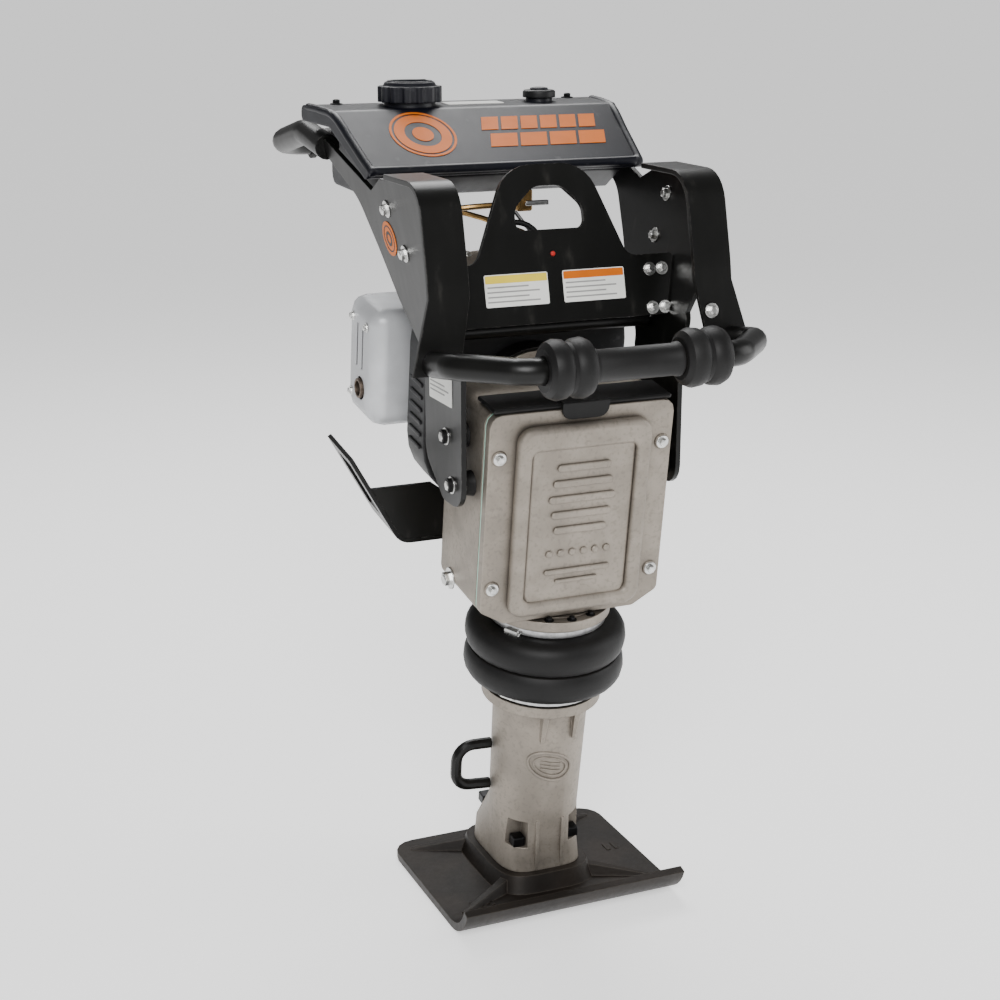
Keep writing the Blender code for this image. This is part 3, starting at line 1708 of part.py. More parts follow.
def make_tank(frame):
    to_frame = frame.matrix_world.inverted()
    hood = plate(
        "fuel_tank",
        [hood_outline()],
        2 * TANK_FRONT_HALF_X,
        "black_plastic",
        frame,
        to_frame @ SIDE_PLANE,
    )
    for vertex in hood.data.vertices:
        share = (vertex.co.x - TANK_FRONT[0]) / (TANK_TAIL_Y - TANK_FRONT[0])
        widen = (TANK_TAIL_HALF_X - TANK_FRONT_HALF_X) * share
        vertex.co.z += math.copysign(widen, vertex.co.z)
    body = plate(
        "tank_body",
        [
            rounded(
                flat(
                    [
                        (TANK_FRONT[0] + 0.020, TANK_FRONT[1] - 0.010, 0.008),
                        (TANK_FRONT[0] + 0.060, TANK_BODY_BOTTOM_Z, 0.012),
                        (TANK_BODY_REAR_Y, TANK_BODY_BOTTOM_Z + 0.004, 0.014),
                        (TANK_BODY_REAR_Y, TANK_REAR[1] - 0.006, 0.012),
                        (TANK_CREST[0], TANK_CREST[1] - 0.006, 0.004),
                        (TANK_FRONT[0] + 0.020, TANK_FRONT[1] + 0.006, 0.002),
                    ]
                ),
                3,
            )
        ],
        2 * TANK_BODY_HALF_X,
        "black_plastic",
        frame,
        to_frame @ SIDE_PLANE,
    )
    join(hood, body)
    for name, centre, radius in (
        ("fuel_cap", CAP_CENTRE, CAP_RADIUS),
        ("tank_vent", VENT_CENTRE, VENT_RADIUS),
    ):
        base = to_frame @ Vector((*centre, tank_top_z(centre[1]) - 0.004))
        top = to_frame @ Vector((*centre, tank_top_z(centre[1]) + NECK_HEIGHT))
        join(hood, rod(f"{name}_neck", base, top, radius * 0.8, "black_plastic", frame, 24))
    return hood


def tank_top_z(y):
    share = (y - TANK_CREST[0]) / (TANK_REAR[0] - TANK_CREST[0])
    return TANK_CREST[1] + (TANK_REAR[1] - TANK_CREST[1]) * share


def make_caps(frame):
    to_frame = frame.matrix_world.inverted()
    base = tank_top_z(CAP_CENTRE[1]) + NECK_HEIGHT + GAP
    place = to_frame @ Matrix.Translation((*CAP_CENTRE, base))
    ribs = 14
    outline = []
    for i in range(2 * ribs):
        radius = CAP_RADIUS if i % 2 else CAP_RADIUS - 0.003
        for nudge in (-0.30, 0.30):
            angle = math.pi * (i + nudge) / ribs
            outline.append(Vector((radius * math.cos(angle), radius * math.sin(angle), 0)))
    height = CAP_HEIGHT - NECK_HEIGHT
    cap = plate(
        "fuel_cap",
        [outline],
        height - 0.005,
        "black_plastic",
        frame,
        place @ Matrix.Translation((0, 0, (height - 0.005) / 2)),
    )
    crown = rod(
        "cap_crown",
        to_frame @ Vector((*CAP_CENTRE, base + height - 0.007)),
        to_frame @ Vector((*CAP_CENTRE, base + height)),
        CAP_RADIUS - 0.005,
        "black_plastic",
        frame,
        28,
        CAP_RADIUS - 0.009,
    )
    join(cap, crown)
    vent_base = tank_top_z(VENT_CENTRE[1]) + NECK_HEIGHT + GAP
    turned(
        "tank_vent_cap",
        [(0, VENT_HEIGHT), (VENT_RADIUS - 0.002, VENT_HEIGHT),
         (VENT_RADIUS, VENT_HEIGHT - 0.002), (VENT_RADIUS, 0), (0, 0)],
        "black_plastic",
        frame,
        to_frame @ Matrix.Translation((*VENT_CENTRE, vent_base)),
        steps=20,
    )


def make_fuel_line(frame):
    """The valve under the tank, its lever, and the hose to the carburettor."""
    to_frame = frame.matrix_world.inverted()
    x, y = VALVE_XY
    top = tank_floor_z(y) - GAP - 0.0035
    box(
        "fuel_valve",
        to_frame @ Vector((x - 0.010, y - 0.008, top - 0.026)),
        to_frame @ Vector((x + 0.010, y + 0.008, top)),
        "brass",
        frame,
        bevel=0.002,
        segments=1,
    )
    box(
        "fuel_valve_lever",
        Vector((0, -0.0060, -0.0030)),
        Vector((0.030, -0.0005, 0.0030)),
        "steel",
        frame,
        bevel=0.001,
        segments=1,
        matrix=to_frame @ Matrix.Translation((x - 0.002, y - 0.008 - GAP, top - 0.016)),
    )
    port = Vector((x - 0.0105, y, top - 0.018))
    carb_top = ram_to_world((ENGINE_HALF_X + CARB_REACH / 2 + 0.004, CARB_Y, CARB_HEIGHT + CARB_HALF + GAP))
    up = ram_to_world((0, 0, 1)) - ram_to_world((0, 0, 0))
    knots = [
        port,
        port + Vector((-0.030, 0, 0)),
        port + Vector((-0.062, 0.006, -0.002)),
        port + Vector((-0.085, 0.030, -0.008)),
        port + Vector((-0.070, 0.062, -0.014)),
        port + Vector((-0.030, 0.076, -0.018)),
        carb_top + up * 0.105 + Vector((-0.030, 0.010, 0)),
        carb_top + up * 0.055,
        carb_top + up * 0.020,
        carb_top,
    ]
    tube("fuel_hose", [to_frame @ p for p in smooth_route(knots)], 0.0035, "brass", frame, 2)


def tank_floor_z(y):
    near = Vector((TANK_FRONT[0] + 0.020, TANK_FRONT[1] - 0.010))
    far = Vector((TANK_FRONT[0] + 0.060, TANK_BODY_BOTTOM_Z))
    share = min(max((y - near.x) / (far.x - near.x), 0), 1)
    return near.y + (far.y - near.y) * share


def make_rear_handle(frame):
    """The operator's loop behind the tank, butted to the side plates' tails."""
    to_frame = frame.matrix_world.inverted()
    tail_y, tail_top = plate_tail()
    tail_z = tail_top - TAIL_HALF
    x = side_x(tail_z)
    start = tail_y + GAP + 0.0015
    corners = []
    for side in (-1, 1):
        half = [
            (side * x, start, tail_z, 0),
            (side * x, TANK_TAIL_Y + 0.040, tail_z + 0.012, 0.060),
            (side * x, GRIP_REAR_Y, GRIP_Z, GRIP_CORNER),
        ]
        corners += half if side < 0 else half[::-1]
    route = [to_frame @ point for point in rounded(corners, 6, closed=False)]
    return tube("rear_handle", route, GRIP_RADIUS, "black_paint", frame, resolution=6)


def make_throttle(frame):
    to_frame = frame.matrix_world.inverted()
    reach = GRIP_RADIUS + 0.006
    clamp = box(
        "throttle_clamp",
        to_frame @ Vector((THROTTLE_X - 0.015, GRIP_REAR_Y - reach, GRIP_Z - reach)),
        to_frame @ Vector((THROTTLE_X + 0.015, GRIP_REAR_Y + reach, GRIP_Z + reach)),
        "black_plastic",
        frame,
        bevel=0.004,
        segments=1,
    )
    bore = rod(
        "clamp_bore",
        to_frame @ Vector((THROTTLE_X - 0.03, GRIP_REAR_Y, GRIP_Z)),
        to_frame @ Vector((THROTTLE_X + 0.03, GRIP_REAR_Y, GRIP_Z)),
        GRIP_RADIUS + GAP + 0.0003,
        "black_plastic",
        frame,
    )
    cut(clamp, bore)
    pivot = Matrix.Translation((THROTTLE_X, GRIP_REAR_Y, GRIP_Z + reach + GAP + 0.002))
    outline = rounded(
        flat([(0.010, -0.010, 0.009), (0.010, 0.010, 0.009),
              (-LEVER_LENGTH, 0.006, 0.0055), (-LEVER_LENGTH, -0.006, 0.0055)]),
        4,
    )
    plate("throttle_lever", [outline], 0.004, "steel", frame, to_frame @ pivot)
    carb = ram_to_world(
        (ENGINE_HALF_X + CARB_REACH / 2 - 0.008, CARB_Y + 0.008, CARB_HEIGHT + CARB_HALF + GAP)
    )
    up = ram_to_world((0, 0, 1)) - ram_to_world((0, 0, 0))
    start = Vector((THROTTLE_X, GRIP_REAR_Y - reach - GAP - 0.0005, GRIP_Z - 0.010))
    knots = [
        start,
        start + Vector((0, -0.030, -0.004)),
        start + Vector((-0.004, -0.085, -0.050)),
        Vector((THROTTLE_X - 0.004, TANK_BODY_REAR_Y + 0.020, 0.790)),
        Vector((THROTTLE_X - 0.006, TANK_BODY_REAR_Y - 0.040, 0.768)),
        carb + up * 0.085 + Vector((0.004, 0.020, 0)),
        carb + up * 0.040,
        carb,
    ]
    tube("throttle_cable", [to_frame @ p for p in smooth_route(knots)], 0.0025, "rubber", frame, 2)


# ---------------------------------------------------------------- assembly


def make_rammer():
    ram = new_empty("ram_axis", matrix=TILT)
    crank = new_empty("crank_axis", ram, Matrix.Translation((0, 0, CRANK_HEIGHT)) @ FACE_BACK)
    crank_pin = new_empty("crank_pin_axis", crank, Matrix.Translation((0, CRANK_THROW, 0)))
    engine_axis = new_empty("engine_axis", ram, Matrix.Translation((0, 0, ENGINE_HEIGHT)) @ FACE_BACK)
    frame = new_empty("frame_pivot", matrix=Matrix.Translation(FRAME_PIVOT))
    bpy.context.view_layer.update()

    shoe = make_shoe()
    make_leg(ram, shoe)
    make_leg_grab(ram)
    make_spring_pack(ram)
    make_piston_rod(ram)
    make_bellows(ram)
    make_guide(ram)

    make_crankcase(ram)
    make_cover(ram)
    make_top_pad(ram)
    make_crank(crank)
    make_con_rod(crank_pin)
    make_pinion(engine_axis)
    make_engine_shaft(engine_axis)

    make_engine_block(ram, engine_axis)
    make_fan_housing(ram)
    make_barrel(ram)
    make_muffler(ram)
    make_intake(ram)
    make_starter(ram, engine_axis)
    make_cradle(ram)

    for side, name in ((-1, "left"), (1, "right")):
        make_band(frame, f"arm_band_{name}", side)
        make_side_plate(frame, f"side_plate_{name}", side)
    make_shock_mounts(frame)
    make_front_bar(frame)
    make_lift_plate(frame)
    make_tank(frame)
    make_caps(frame)
    make_fuel_line(frame)
    make_rear_handle(frame)
    make_throttle(frame)


clear_scene()
PARTS = new_collection("jumping_jack_rammer")
CUTTERS = new_collection("cutters")
MATERIALS = {name: new_finish(name) for name in FINISHES}
make_rammer()
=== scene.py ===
"""Finishes, soft parts, small fittings, light and camera for the jumping jack rammer."""

import json
import math

import bmesh
import bpy
from bpy.props import FloatProperty, FloatVectorProperty, PointerProperty
from mathutils import Matrix, Vector
from mathutils.bvhtree import BVHTree


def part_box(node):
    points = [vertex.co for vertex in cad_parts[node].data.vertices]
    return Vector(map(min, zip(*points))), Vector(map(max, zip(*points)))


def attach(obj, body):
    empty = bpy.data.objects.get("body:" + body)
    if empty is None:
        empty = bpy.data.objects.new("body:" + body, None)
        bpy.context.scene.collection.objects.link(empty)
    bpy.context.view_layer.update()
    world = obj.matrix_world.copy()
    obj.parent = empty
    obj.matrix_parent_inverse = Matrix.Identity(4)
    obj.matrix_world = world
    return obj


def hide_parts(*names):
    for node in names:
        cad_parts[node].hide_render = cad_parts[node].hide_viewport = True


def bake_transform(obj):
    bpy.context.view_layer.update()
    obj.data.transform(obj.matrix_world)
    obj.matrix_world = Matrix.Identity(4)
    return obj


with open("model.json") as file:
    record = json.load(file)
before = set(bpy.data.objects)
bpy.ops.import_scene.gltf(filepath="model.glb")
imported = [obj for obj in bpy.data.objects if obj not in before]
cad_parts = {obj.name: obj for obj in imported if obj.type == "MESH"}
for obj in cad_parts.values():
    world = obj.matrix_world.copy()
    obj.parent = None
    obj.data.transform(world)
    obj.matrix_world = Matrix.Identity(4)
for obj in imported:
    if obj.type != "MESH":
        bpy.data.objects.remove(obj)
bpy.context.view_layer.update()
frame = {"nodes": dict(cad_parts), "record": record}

bl_info = {
    "name": "Jumping Jack Rammer",
    "version": (1, 0, 0),
    "blender": (4, 5, 0),
    "location": "View3D > Sidebar > Rammer",
    "description": "Finishes and fittings of a tamping rammer round its solid model",
    "category": "Object",
}

# The ram leans back, so its own axes are sideways x, front to back v and up the leg s.
LEAN = math.radians(8.0)
RAM = Matrix.Translation((0, 0.015, 0)) @ Matrix.Rotation(LEAN, 4, "X")
RAM_BACK = RAM.to_3x3() @ Vector((0, 1, 0))
RAM_UP = RAM.to_3x3() @ Vector((0, 0, 1))

# Faces of the solid model that fittings sit on, in the ram's axes.
COVER_FACE = -0.0576
PANEL_FACE = -0.0666
PANEL_LOW, PANEL_HIGH = 0.408, 0.604
FLANGE_TOP = 0.380
PAD_TOP = 0.6383
SHAFT_HEIGHT = 0.585
STARTER_FACE = 0.290
BLOCK_REAR = 0.250
BARREL_V, BARREL_TOP = 0.200, 0.722
GUARD_FACE_X = -0.158
CLEANER_FACE_X = 0.152

# Faces of the lifting frame, in world axes.
SIDE_FACE_X = 0.1332
SPLAY_START, SPLAY_SLOPE = 0.655, 0.20
LIFT_FOOT_Y, LIFT_BOTTOM_Z, LIFT_SLOPE = -0.0592, 0.698, 0.24
LIFT_HALF = 0.0031
BAR_Y, BAR_Z = -0.244, 0.689
GRIP_Y, GRIP_Z = 0.417, 0.858

# Bodies that most fittings ride on.
CASE = "crankcase_group"
FRAME = "lifting_frame"

# Edges are shaded sharp from the first angle and cut round from the second.
SHARP_FROM = math.radians(32)
ROUND_FROM = math.radians(38)
FLAT_WITHIN = math.radians(0.6)
WELD = 1e-5
# Share of the edge round that a node without a width of its own gets.
NODE_EDGE = 0.7
# How far a fitting sinks into the face that it stands on.
SINK = 0.0003
LUG_HEIGHT = 0.0022
SENSOR_WIDTH = 36.0
FLOOR_RADIUS, FLOOR_DROP = 150.0, 0.0004
WHITE = (1.0, 1.0, 1.0, 1.0)


def colour(name, about, value):
    return FloatVectorProperty(
        name=name, description=about, subtype="COLOR", size=3, min=0.0, max=1.0, default=value
    )


def length(name, about, value):
    return FloatProperty(
        name=name, description=about, unit="LENGTH", subtype="DISTANCE", min=0.0, default=value,
        precision=4,
    )


def strength(name, about, value, unit="NONE"):
    return FloatProperty(name=name, description=about, unit=unit, min=0.0, default=value)


class RammerColours(bpy.types.PropertyGroup):
    """Colours of the finishes."""

    alloy: colour("Cast alloy", "Sand-cast leg and crankcase", (0.315, 0.280, 0.238))
    iron: colour("Cast iron", "Shoe", (0.0125, 0.0090, 0.0066))
    paint: colour("Frame paint", "Satin paint on plates, bar and handle", (0.0030, 0.0030, 0.0026))
    rubber: colour("Rubber", "Bellows, rollers and pads", (0.0050, 0.0048, 0.0048))
    plastic: colour("Tank plastic", "Moulded tank and covers", (0.0030, 0.0034, 0.0068))
    silver: colour("Silver coat", "Guard over the muffler", (0.56, 0.57, 0.585))
    zinc: colour("Zinc plate", "Bolts and washers", (0.70, 0.70, 0.68))
    steel: colour("Steel", "Ground and turned parts", (0.55, 0.55, 0.55))
    brass: colour("Brass", "Fuel line and valve", (0.36, 0.22, 0.085))
    orange: colour("Orange print", "Stripes and rings", (0.60, 0.135, 0.004))
    gasket: colour("Gasket", "Paper gasket behind the cover", (0.46, 0.74, 0.60))
    print_white: colour("Label white", "Ground of the blank labels", (0.80, 0.80, 0.76))
    print_yellow: colour("Label yellow", "Head of the left label", (0.78, 0.60, 0.06))
    print_grey: colour("Label grey", "Ruled lines on the labels", (0.30, 0.30, 0.29))
    red: colour("Stop button", "Stop switch", (0.50, 0.02, 0.015))


class RammerSizes(bpy.types.PropertyGroup):
    """Sizes of the fittings."""

    edge: length("Edge round", "Rounding of plate and casting edges", 0.0011)
    frame_bolt: length("Frame bolt", "Across the flats of the frame bolts", 0.0105)
    cover_bolt: length("Cover bolt", "Across the flats of the cover bolts", 0.0080)
    small_bolt: length("Small bolt", "Across the flats of the engine bolts", 0.0065)
    print_lift: length("Print thickness", "How far stickers and labels stand proud", 0.0005)
    emboss: length("Emboss height", "Height of the cast ribs on the cover", 0.0034)
    sleeve: length("Sleeve radius", "Rubber sleeve between the rollers", 0.0168)
    grip: length("Grip radius", "Rubber grip on the rear handle", 0.0178)


class RammerStage(bpy.types.PropertyGroup):
    """Camera, floor and light."""

    camera_place: FloatVectorProperty(
        name="Camera place", description="Where the camera stands", subtype="TRANSLATION",
        size=3, default=(-0.8318, -1.8330, 1.0657),
    )
    camera_turn: FloatVectorProperty(
        name="Camera turn", description="Which way the camera looks", subtype="EULER",
        size=3, default=(math.radians(73.76), 0.0, math.radians(-23.27)),
    )
    focal_length: FloatProperty(
        name="Focal length", description="Lens of the camera in millimetres", min=1.0, default=65.13
    )
    floor: colour("Floor", "Plain pale floor", (0.86, 0.86, 0.86))
    room: strength("Room light", "Even light from all round", 0.24)
    horizon: strength("Horizon", "Brightness of the room behind", 1.05)
    key: strength("Key light", "Soft light from the front", 105.0, "POWER")
    fill: strength("Fill light", "Soft light from the right", 34.0, "POWER")
    rim: strength("Top light", "Soft light from above and behind", 60.0, "POWER")
    glow: strength("Floor glow", "Light that the floor itself gives", 0.80)


def colours():
    return bpy.context.scene.rammer_colours


def sizes():
    return bpy.context.scene.rammer_sizes


class Signal:
    """A shader value that takes part in plain arithmetic."""

    def __init__(self, finish, socket):
        self.finish = finish
        self.socket = socket

    def _with(self, operation, first, second):
        return self.finish.add("ShaderNodeMath", {"operation": operation}, {0: first, 1: second})

    def __add__(self, other):
        return self._with("ADD", self, other)

    __radd__ = __add__

    def __sub__(self, other):
        return self._with("SUBTRACT", self, other)

    def __rsub__(self, other):
        return self._with("SUBTRACT", other, self)

    def __mul__(self, other):
        return self._with("MULTIPLY", self, other)

    __rmul__ = __mul__


class Finish:
    """One material: its textures and the shader that they feed."""

    def __init__(self, name, **steady):
        self.material = bpy.data.materials.new(name)
        self.material.use_nodes = True
        self.tree = self.material.node_tree
        self.shader = self.tree.nodes["Principled BSDF"]
        self.place = self.add("ShaderNodeTexCoord", output="Object")
        self.feed(self.shader, {key.replace("_", " "): value for key, value in steady.items()})
        self.normal = None

    def feed(self, node, inputs):
        for key, given in inputs.items():
            if isinstance(given, Signal):
                self.tree.links.new(given.socket, node.inputs[key])
            else:
                node.inputs[key].default_value = given

    def add(self, kind, settings=None, inputs=None, output=0):
        node = self.tree.nodes.new(kind)
        for name, setting in (settings or {}).items():
            setattr(node, name, setting)
        self.feed(node, inputs or {})
        return Signal(self, node.outputs[output])

    def noise(self, scale, detail=3.0, stretch=(1, 1, 1)):
        place = self.add("ShaderNodeVectorMath", {"operation": "MULTIPLY"}, {0: self.place, 1: stretch})
        inputs = {"Vector": place, "Scale": scale, "Detail": detail}
        return self.add("ShaderNodeTexNoise", None, inputs)

    def between(self, signal, low, high):
        """0 where the signal is under low, 1 where it is over high, and even between."""
        inputs = {"Value": signal, "From Min": low, "From Max": high}
        return self.add("ShaderNodeMapRange", {"interpolation_type": "SMOOTHSTEP"}, inputs)

    def mix(self, share, first, second):
        inputs = {0: share, 6: first, 7: second}
        return self.add("ShaderNodeMix", {"data_type": "RGBA"}, inputs, 2)

    def edges(self, radius):
        """1 on edges and 0 on faces. The rounded normal also becomes the base of the bumps."""
        rounded = self.add("ShaderNodeBevel", {"samples": 4}, {"Radius": radius}, "Normal")
        self.normal = rounded
        face = self.add("ShaderNodeNewGeometry", output="True Normal")
        even = self.add(
            "ShaderNodeVectorMath", {"operation": "DOT_PRODUCT"}, {0: rounded, 1: face}, "Value"
        )
        return self.between(1 - even, 0.015, 0.16)

    def corners(self, reach):
        """1 in corners and joints and 0 in the open: lighter dust on the iron and rubber, painted shade
        on the cast alloy.
        """
        open_share = self.add("ShaderNodeAmbientOcclusion", {"samples": 4}, {"Distance": reach}, "AO")
        return self.between(1 - open_share, 0.25, 0.85)

    def bump(self, height, depth, strength=1.0):
        inputs = {"Height": height, "Distance": depth, "Strength": strength}
        if self.normal is not None:
            inputs["Normal"] = self.normal
        self.normal = self.add("ShaderNodeBump", None, inputs)

    def done(self, base, roughness):
        inputs = {"Base Color": base, "Roughness": roughness}
        if self.normal is not None:
            inputs["Normal"] = self.normal
        self.feed(self.shader, inputs)
        return self.material


def shade(rgb, factor=1.0):
    """A colour, made lighter or darker, with full alpha."""
    return (*[min(1.0, channel * factor) for channel in rgb], 1.0)


def cast_alloy():
    """Blasted sand-cast aluminium: grainy, mottled, brighter where edges rub, with painted shade
    darkening its corners and creases.
    """
    tone = colours().alloy
    f = Finish("cast_alloy", Metallic=0.72, Specular_IOR_Level=0.45)
    worn, crevice_dust_and_shade = f.edges(0.0016), f.corners(0.020)
    mottle, grain, sand = f.noise(28, 5), f.noise(240, 3), f.noise(1300, 2)
    base = f.mix(f.between(mottle, 0.35, 0.68), shade(tone, 0.84), shade(tone, 1.08))
    base = f.mix(f.between(grain, 0.50, 0.70) * 0.45, base, shade(tone, 0.62))
    # Painted shade: the alloy is darkened to a dark brown in its corners, creases and joints.
    base = f.mix(crevice_dust_and_shade * 0.80, base, shade((0.115, 0.098, 0.080)))
    base = f.mix(worn * 0.45, base, shade(tone, 1.45))
    f.bump(mottle + grain * 0.35, 0.0010, 0.45)
    f.bump(sand, 0.00030, 0.65)
    return f.done(base, 0.46 + mottle * 0.16 - worn * 0.10)


def cast_iron():
    """Dark varnished cast iron with a rougher skin and rubbed edges."""
    tone = colours().iron
    f = Finish("cast_iron", Metallic=0.2, Specular_IOR_Level=0.36)
    worn, crevice_dust_and_shade = f.edges(0.0018), f.corners(0.015)
    patches, skin, sand = f.noise(16, 5), f.noise(150, 4), f.noise(900, 2)
    base = f.mix(f.between(patches, 0.38, 0.66), shade(tone, 0.72), shade(tone, 1.40))
    base = f.mix(worn * 0.60, base, shade((0.085, 0.070, 0.055)))
    base = f.mix(crevice_dust_and_shade * 0.35, base, shade((0.040, 0.032, 0.024)))
    f.bump(patches + skin * 0.5, 0.0009, 0.45)
    f.bump(sand, 0.0003, 0.5)
    return f.done(base, 0.38 + skin * 0.22)


def satin_coat(name, tone, smooth, worn_tone, metal=0.0, rub=0.5):
    """Sprayed coat with a faint orange peel, handling marks and rubbed edges."""
    f = Finish(name, Metallic=metal, Specular_IOR_Level=0.28)
    worn = f.edges(0.0013)
    chips = f.between(f.noise(190, 4), 0.50, 0.60)
    cloud, peel, haze = f.noise(11, 4), f.noise(620, 2), f.noise(60, 5, (1, 1, 0.25))
    base = f.mix(f.between(cloud, 0.36, 0.68), shade(tone, 0.86), shade(tone, 1.18))
    base = f.mix(f.between(haze, 0.60, 0.80) * 0.06, base, shade((0.25, 0.235, 0.21)))
    base = f.mix(worn * chips * rub, base, shade(worn_tone))
    f.bump(peel, 0.00010, 0.45)
    return f.done(base, smooth + haze * 0.13 - worn * 0.05)


def soft_rubber():
    """Moulded rubber with bloom and a fine matt skin."""
    tone = colours().rubber
    f = Finish("soft_rubber", Metallic=0.0, Specular_IOR_Level=0.28)
    crevice_dust_and_shade = f.corners(0.012)
    bloom, skin, fine = f.noise(20, 5), f.noise(330, 3), f.noise(1500, 1)
    base = f.mix(f.between(bloom, 0.42, 0.72), shade(tone, 0.85), shade(tone, 1.75))
    base = f.mix(crevice_dust_and_shade * 0.25, base, shade((0.040, 0.036, 0.031)))
    f.bump(skin + fine * 0.5, 0.00022, 0.5)
    return f.done(base, 0.44 + bloom * 0.16)


def moulded_plastic(name, tone, smooth):
    """Rotation-moulded plastic: slow waves, fine texture and light scuffs."""
    f = Finish(name, Metallic=0.0, Specular_IOR_Level=0.34)
    worn = f.edges(0.0030)
    wave, scuff, fine = f.noise(9, 3), f.noise(85, 6, (1, 0.35, 1)), f.noise(1100, 2)
    base = f.mix(f.between(wave, 0.35, 0.68), shade(tone, 0.85), shade(tone, 1.25))
    base = f.mix(f.between(scuff, 0.62, 0.76) * 0.16 + worn * 0.10, base, shade((0.14, 0.14, 0.15)))
    f.bump(wave, 0.0009, 0.25)
    f.bump(fine, 0.00012, 0.4)
    return f.done(base, smooth + scuff * 0.14)


def plated(name, tone, smooth, grain=(1, 1, 1)):
    """Bright plated or turned metal with fine tool marks and dull patches."""
    f = Finish(name, Metallic=1.0)
    worn = f.edges(0.0006)
    dull, marks = f.noise(130, 4), f.noise(800, 2, grain)
    base = f.mix(f.between(dull, 0.40, 0.70), shade(tone), shade(tone, 0.72))
    base = f.mix(worn * 0.35, base, shade(tone, 1.25))
    f.bump(marks, 0.00008, 0.35)
    return f.done(base, smooth + dull * 0.18)


def printed(name, tone):
    """Printed vinyl: even ink with a faint grain and scuffed lift at its edges."""
    f = Finish(name, Metallic=0.0, Specular_IOR_Level=0.2)
    fade, grain = f.noise(36, 5), f.noise(1400, 2)
    base = f.mix(f.between(fade, 0.40, 0.75) * 0.5, shade(tone), shade(tone, 0.82))
    f.bump(grain, 0.00006, 0.3)
    return f.done(base, 0.36 + fade * 0.12)


def mix_finishes():
    """Every finish of the machine, by name."""
    tone = colours()
    return {
        "alloy": cast_alloy(),
        "iron": cast_iron(),
        "paint": satin_coat("frame_paint", tone.paint, 0.27, (0.16, 0.15, 0.14)),
        "rubber": soft_rubber(),
        "plastic": moulded_plastic("tank_plastic", tone.plastic, 0.30),
        "cover_plastic": moulded_plastic("cover_plastic", (0.0055, 0.0055, 0.0060), 0.40),
        "silver": satin_coat("silver_coat", tone.silver, 0.36, (0.30, 0.29, 0.28), 0.25, 0.35),
        "zinc": plated("zinc_plate", tone.zinc, 0.20),
        "steel": plated("turned_steel", tone.steel, 0.24, (0.2, 0.2, 1.0)),
        "spring": plated("spring_steel", (0.10, 0.10, 0.105), 0.34),
        "brass": plated("brass_pipe", tone.brass, 0.30),
        "hot_steel": plated("hot_steel", (0.16, 0.125, 0.10), 0.42),
        "black_oxide": plated("black_oxide", (0.030, 0.030, 0.031), 0.34),
        "red": moulded_plastic("stop_plastic", tone.red, 0.28),
        "gasket": printed("gasket_paper", tone.gasket),
        "orange": printed("orange_print", tone.orange),
        "white": printed("label_white", tone.print_white),
        "yellow": printed("label_yellow", tone.print_yellow),
        "grey": printed("label_grey", tone.print_grey),
        "ink": printed("label_ink", (0.012, 0.012, 0.013)),
    }


FINISHES = {}
SLOT_OF = {row["node"]: row["material_slot"] for row in frame["record"]["subparts"]}
SLOT_FINISH = {
    "cast_aluminium": "alloy", "cast_iron": "iron", "black_paint": "paint",
    "black_plastic": "cover_plastic",
    "rubber": "rubber", "steel": "steel", "spring_steel": "spring", "silver_paint": "silver",
    "brass": "brass", "red_plastic": "red",
}
NODE_FINISH = {
    "fuel_tank": "plastic", "cover_gasket": "gasket", "muffler": "hot_steel", "throttle_lever": "zinc",
    "shoe_bolt_front_left": "black_oxide", "shoe_bolt_front_right": "black_oxide",
    "shoe_bolt_rear_left": "black_oxide", "shoe_bolt_rear_right": "black_oxide",
    "roller_left": "rubber", "roller_right": "rubber", "fuel_cap": "plastic",
}
# Nodes that are round all over, where a cut bevel would only add noise.
UNCUT = ("bellows", "lower_spring", "upper_spring", "throttle_cable", "fuel_hose", "crank_gear",
         "clutch_pinion", "engine_cylinder", "connecting_rod", "engine_crankshaft", "leg_casting",
         "guide_cylinder", "muffler", "piston_rod")
EDGE_OF = {"fuel_tank": 0.0045, "front_cover": 0.0018, "crankcase": 0.0016, "fan_housing": 0.0020,
           "air_cleaner": 0.0020, "lift_plate": 0.0008,
           "side_plate_left": 0.0008, "side_plate_right": 0.0008}


def shading_group(name, limit, drop_normals):
    """Geometry nodes that join split corners or set the sharp edges of a node."""
    group = bpy.data.node_groups.new(name, "GeometryNodeTree")
    group.interface.new_socket("Geometry", in_out="INPUT", socket_type="NodeSocketGeometry")
    group.interface.new_socket("Geometry", in_out="OUTPUT", socket_type="NodeSocketGeometry")
    nodes, links = group.nodes, group.links
    last = nodes.new("NodeGroupInput").outputs[0]
    if drop_normals:
        drop = nodes.new("GeometryNodeRemoveAttribute")
        drop.inputs["Name"].default_value = "custom_normal"
        weld = nodes.new("GeometryNodeMergeByDistance")
        weld.inputs["Distance"].default_value = WELD
        links.new(last, drop.inputs[0])
        links.new(drop.outputs[0], weld.inputs[0])
        last = weld.outputs[0]
    else:
        smooth = nodes.new("GeometryNodeSetShadeSmooth")
        smooth.domain = "FACE"
        sharp = nodes.new("GeometryNodeSetShadeSmooth")
        sharp.domain = "EDGE"
        sharp.inputs["Shade Smooth"].default_value = False
        angle = nodes.new("GeometryNodeInputMeshEdgeAngle")
        over = nodes.new("FunctionNodeCompare")
        over.inputs[1].default_value = limit
        links.new(angle.outputs[0], over.inputs[0])
        links.new(over.outputs[0], sharp.inputs["Selection"])
        links.new(last, smooth.inputs[0])
        links.new(smooth.outputs[0], sharp.inputs[0])
        last = sharp.outputs[0]
    links.new(last, nodes.new("NodeGroupOutput").inputs[0])
    return group


def cut_edges(obj, width, segments=2):
    """Cuts the object's sharp edges round with a bevel."""
    cut = obj.modifiers.new("round_edges", "BEVEL")
    cut.width = width
    cut.segments = segments
    cut.limit_method = "ANGLE"
    cut.angle_limit = ROUND_FROM


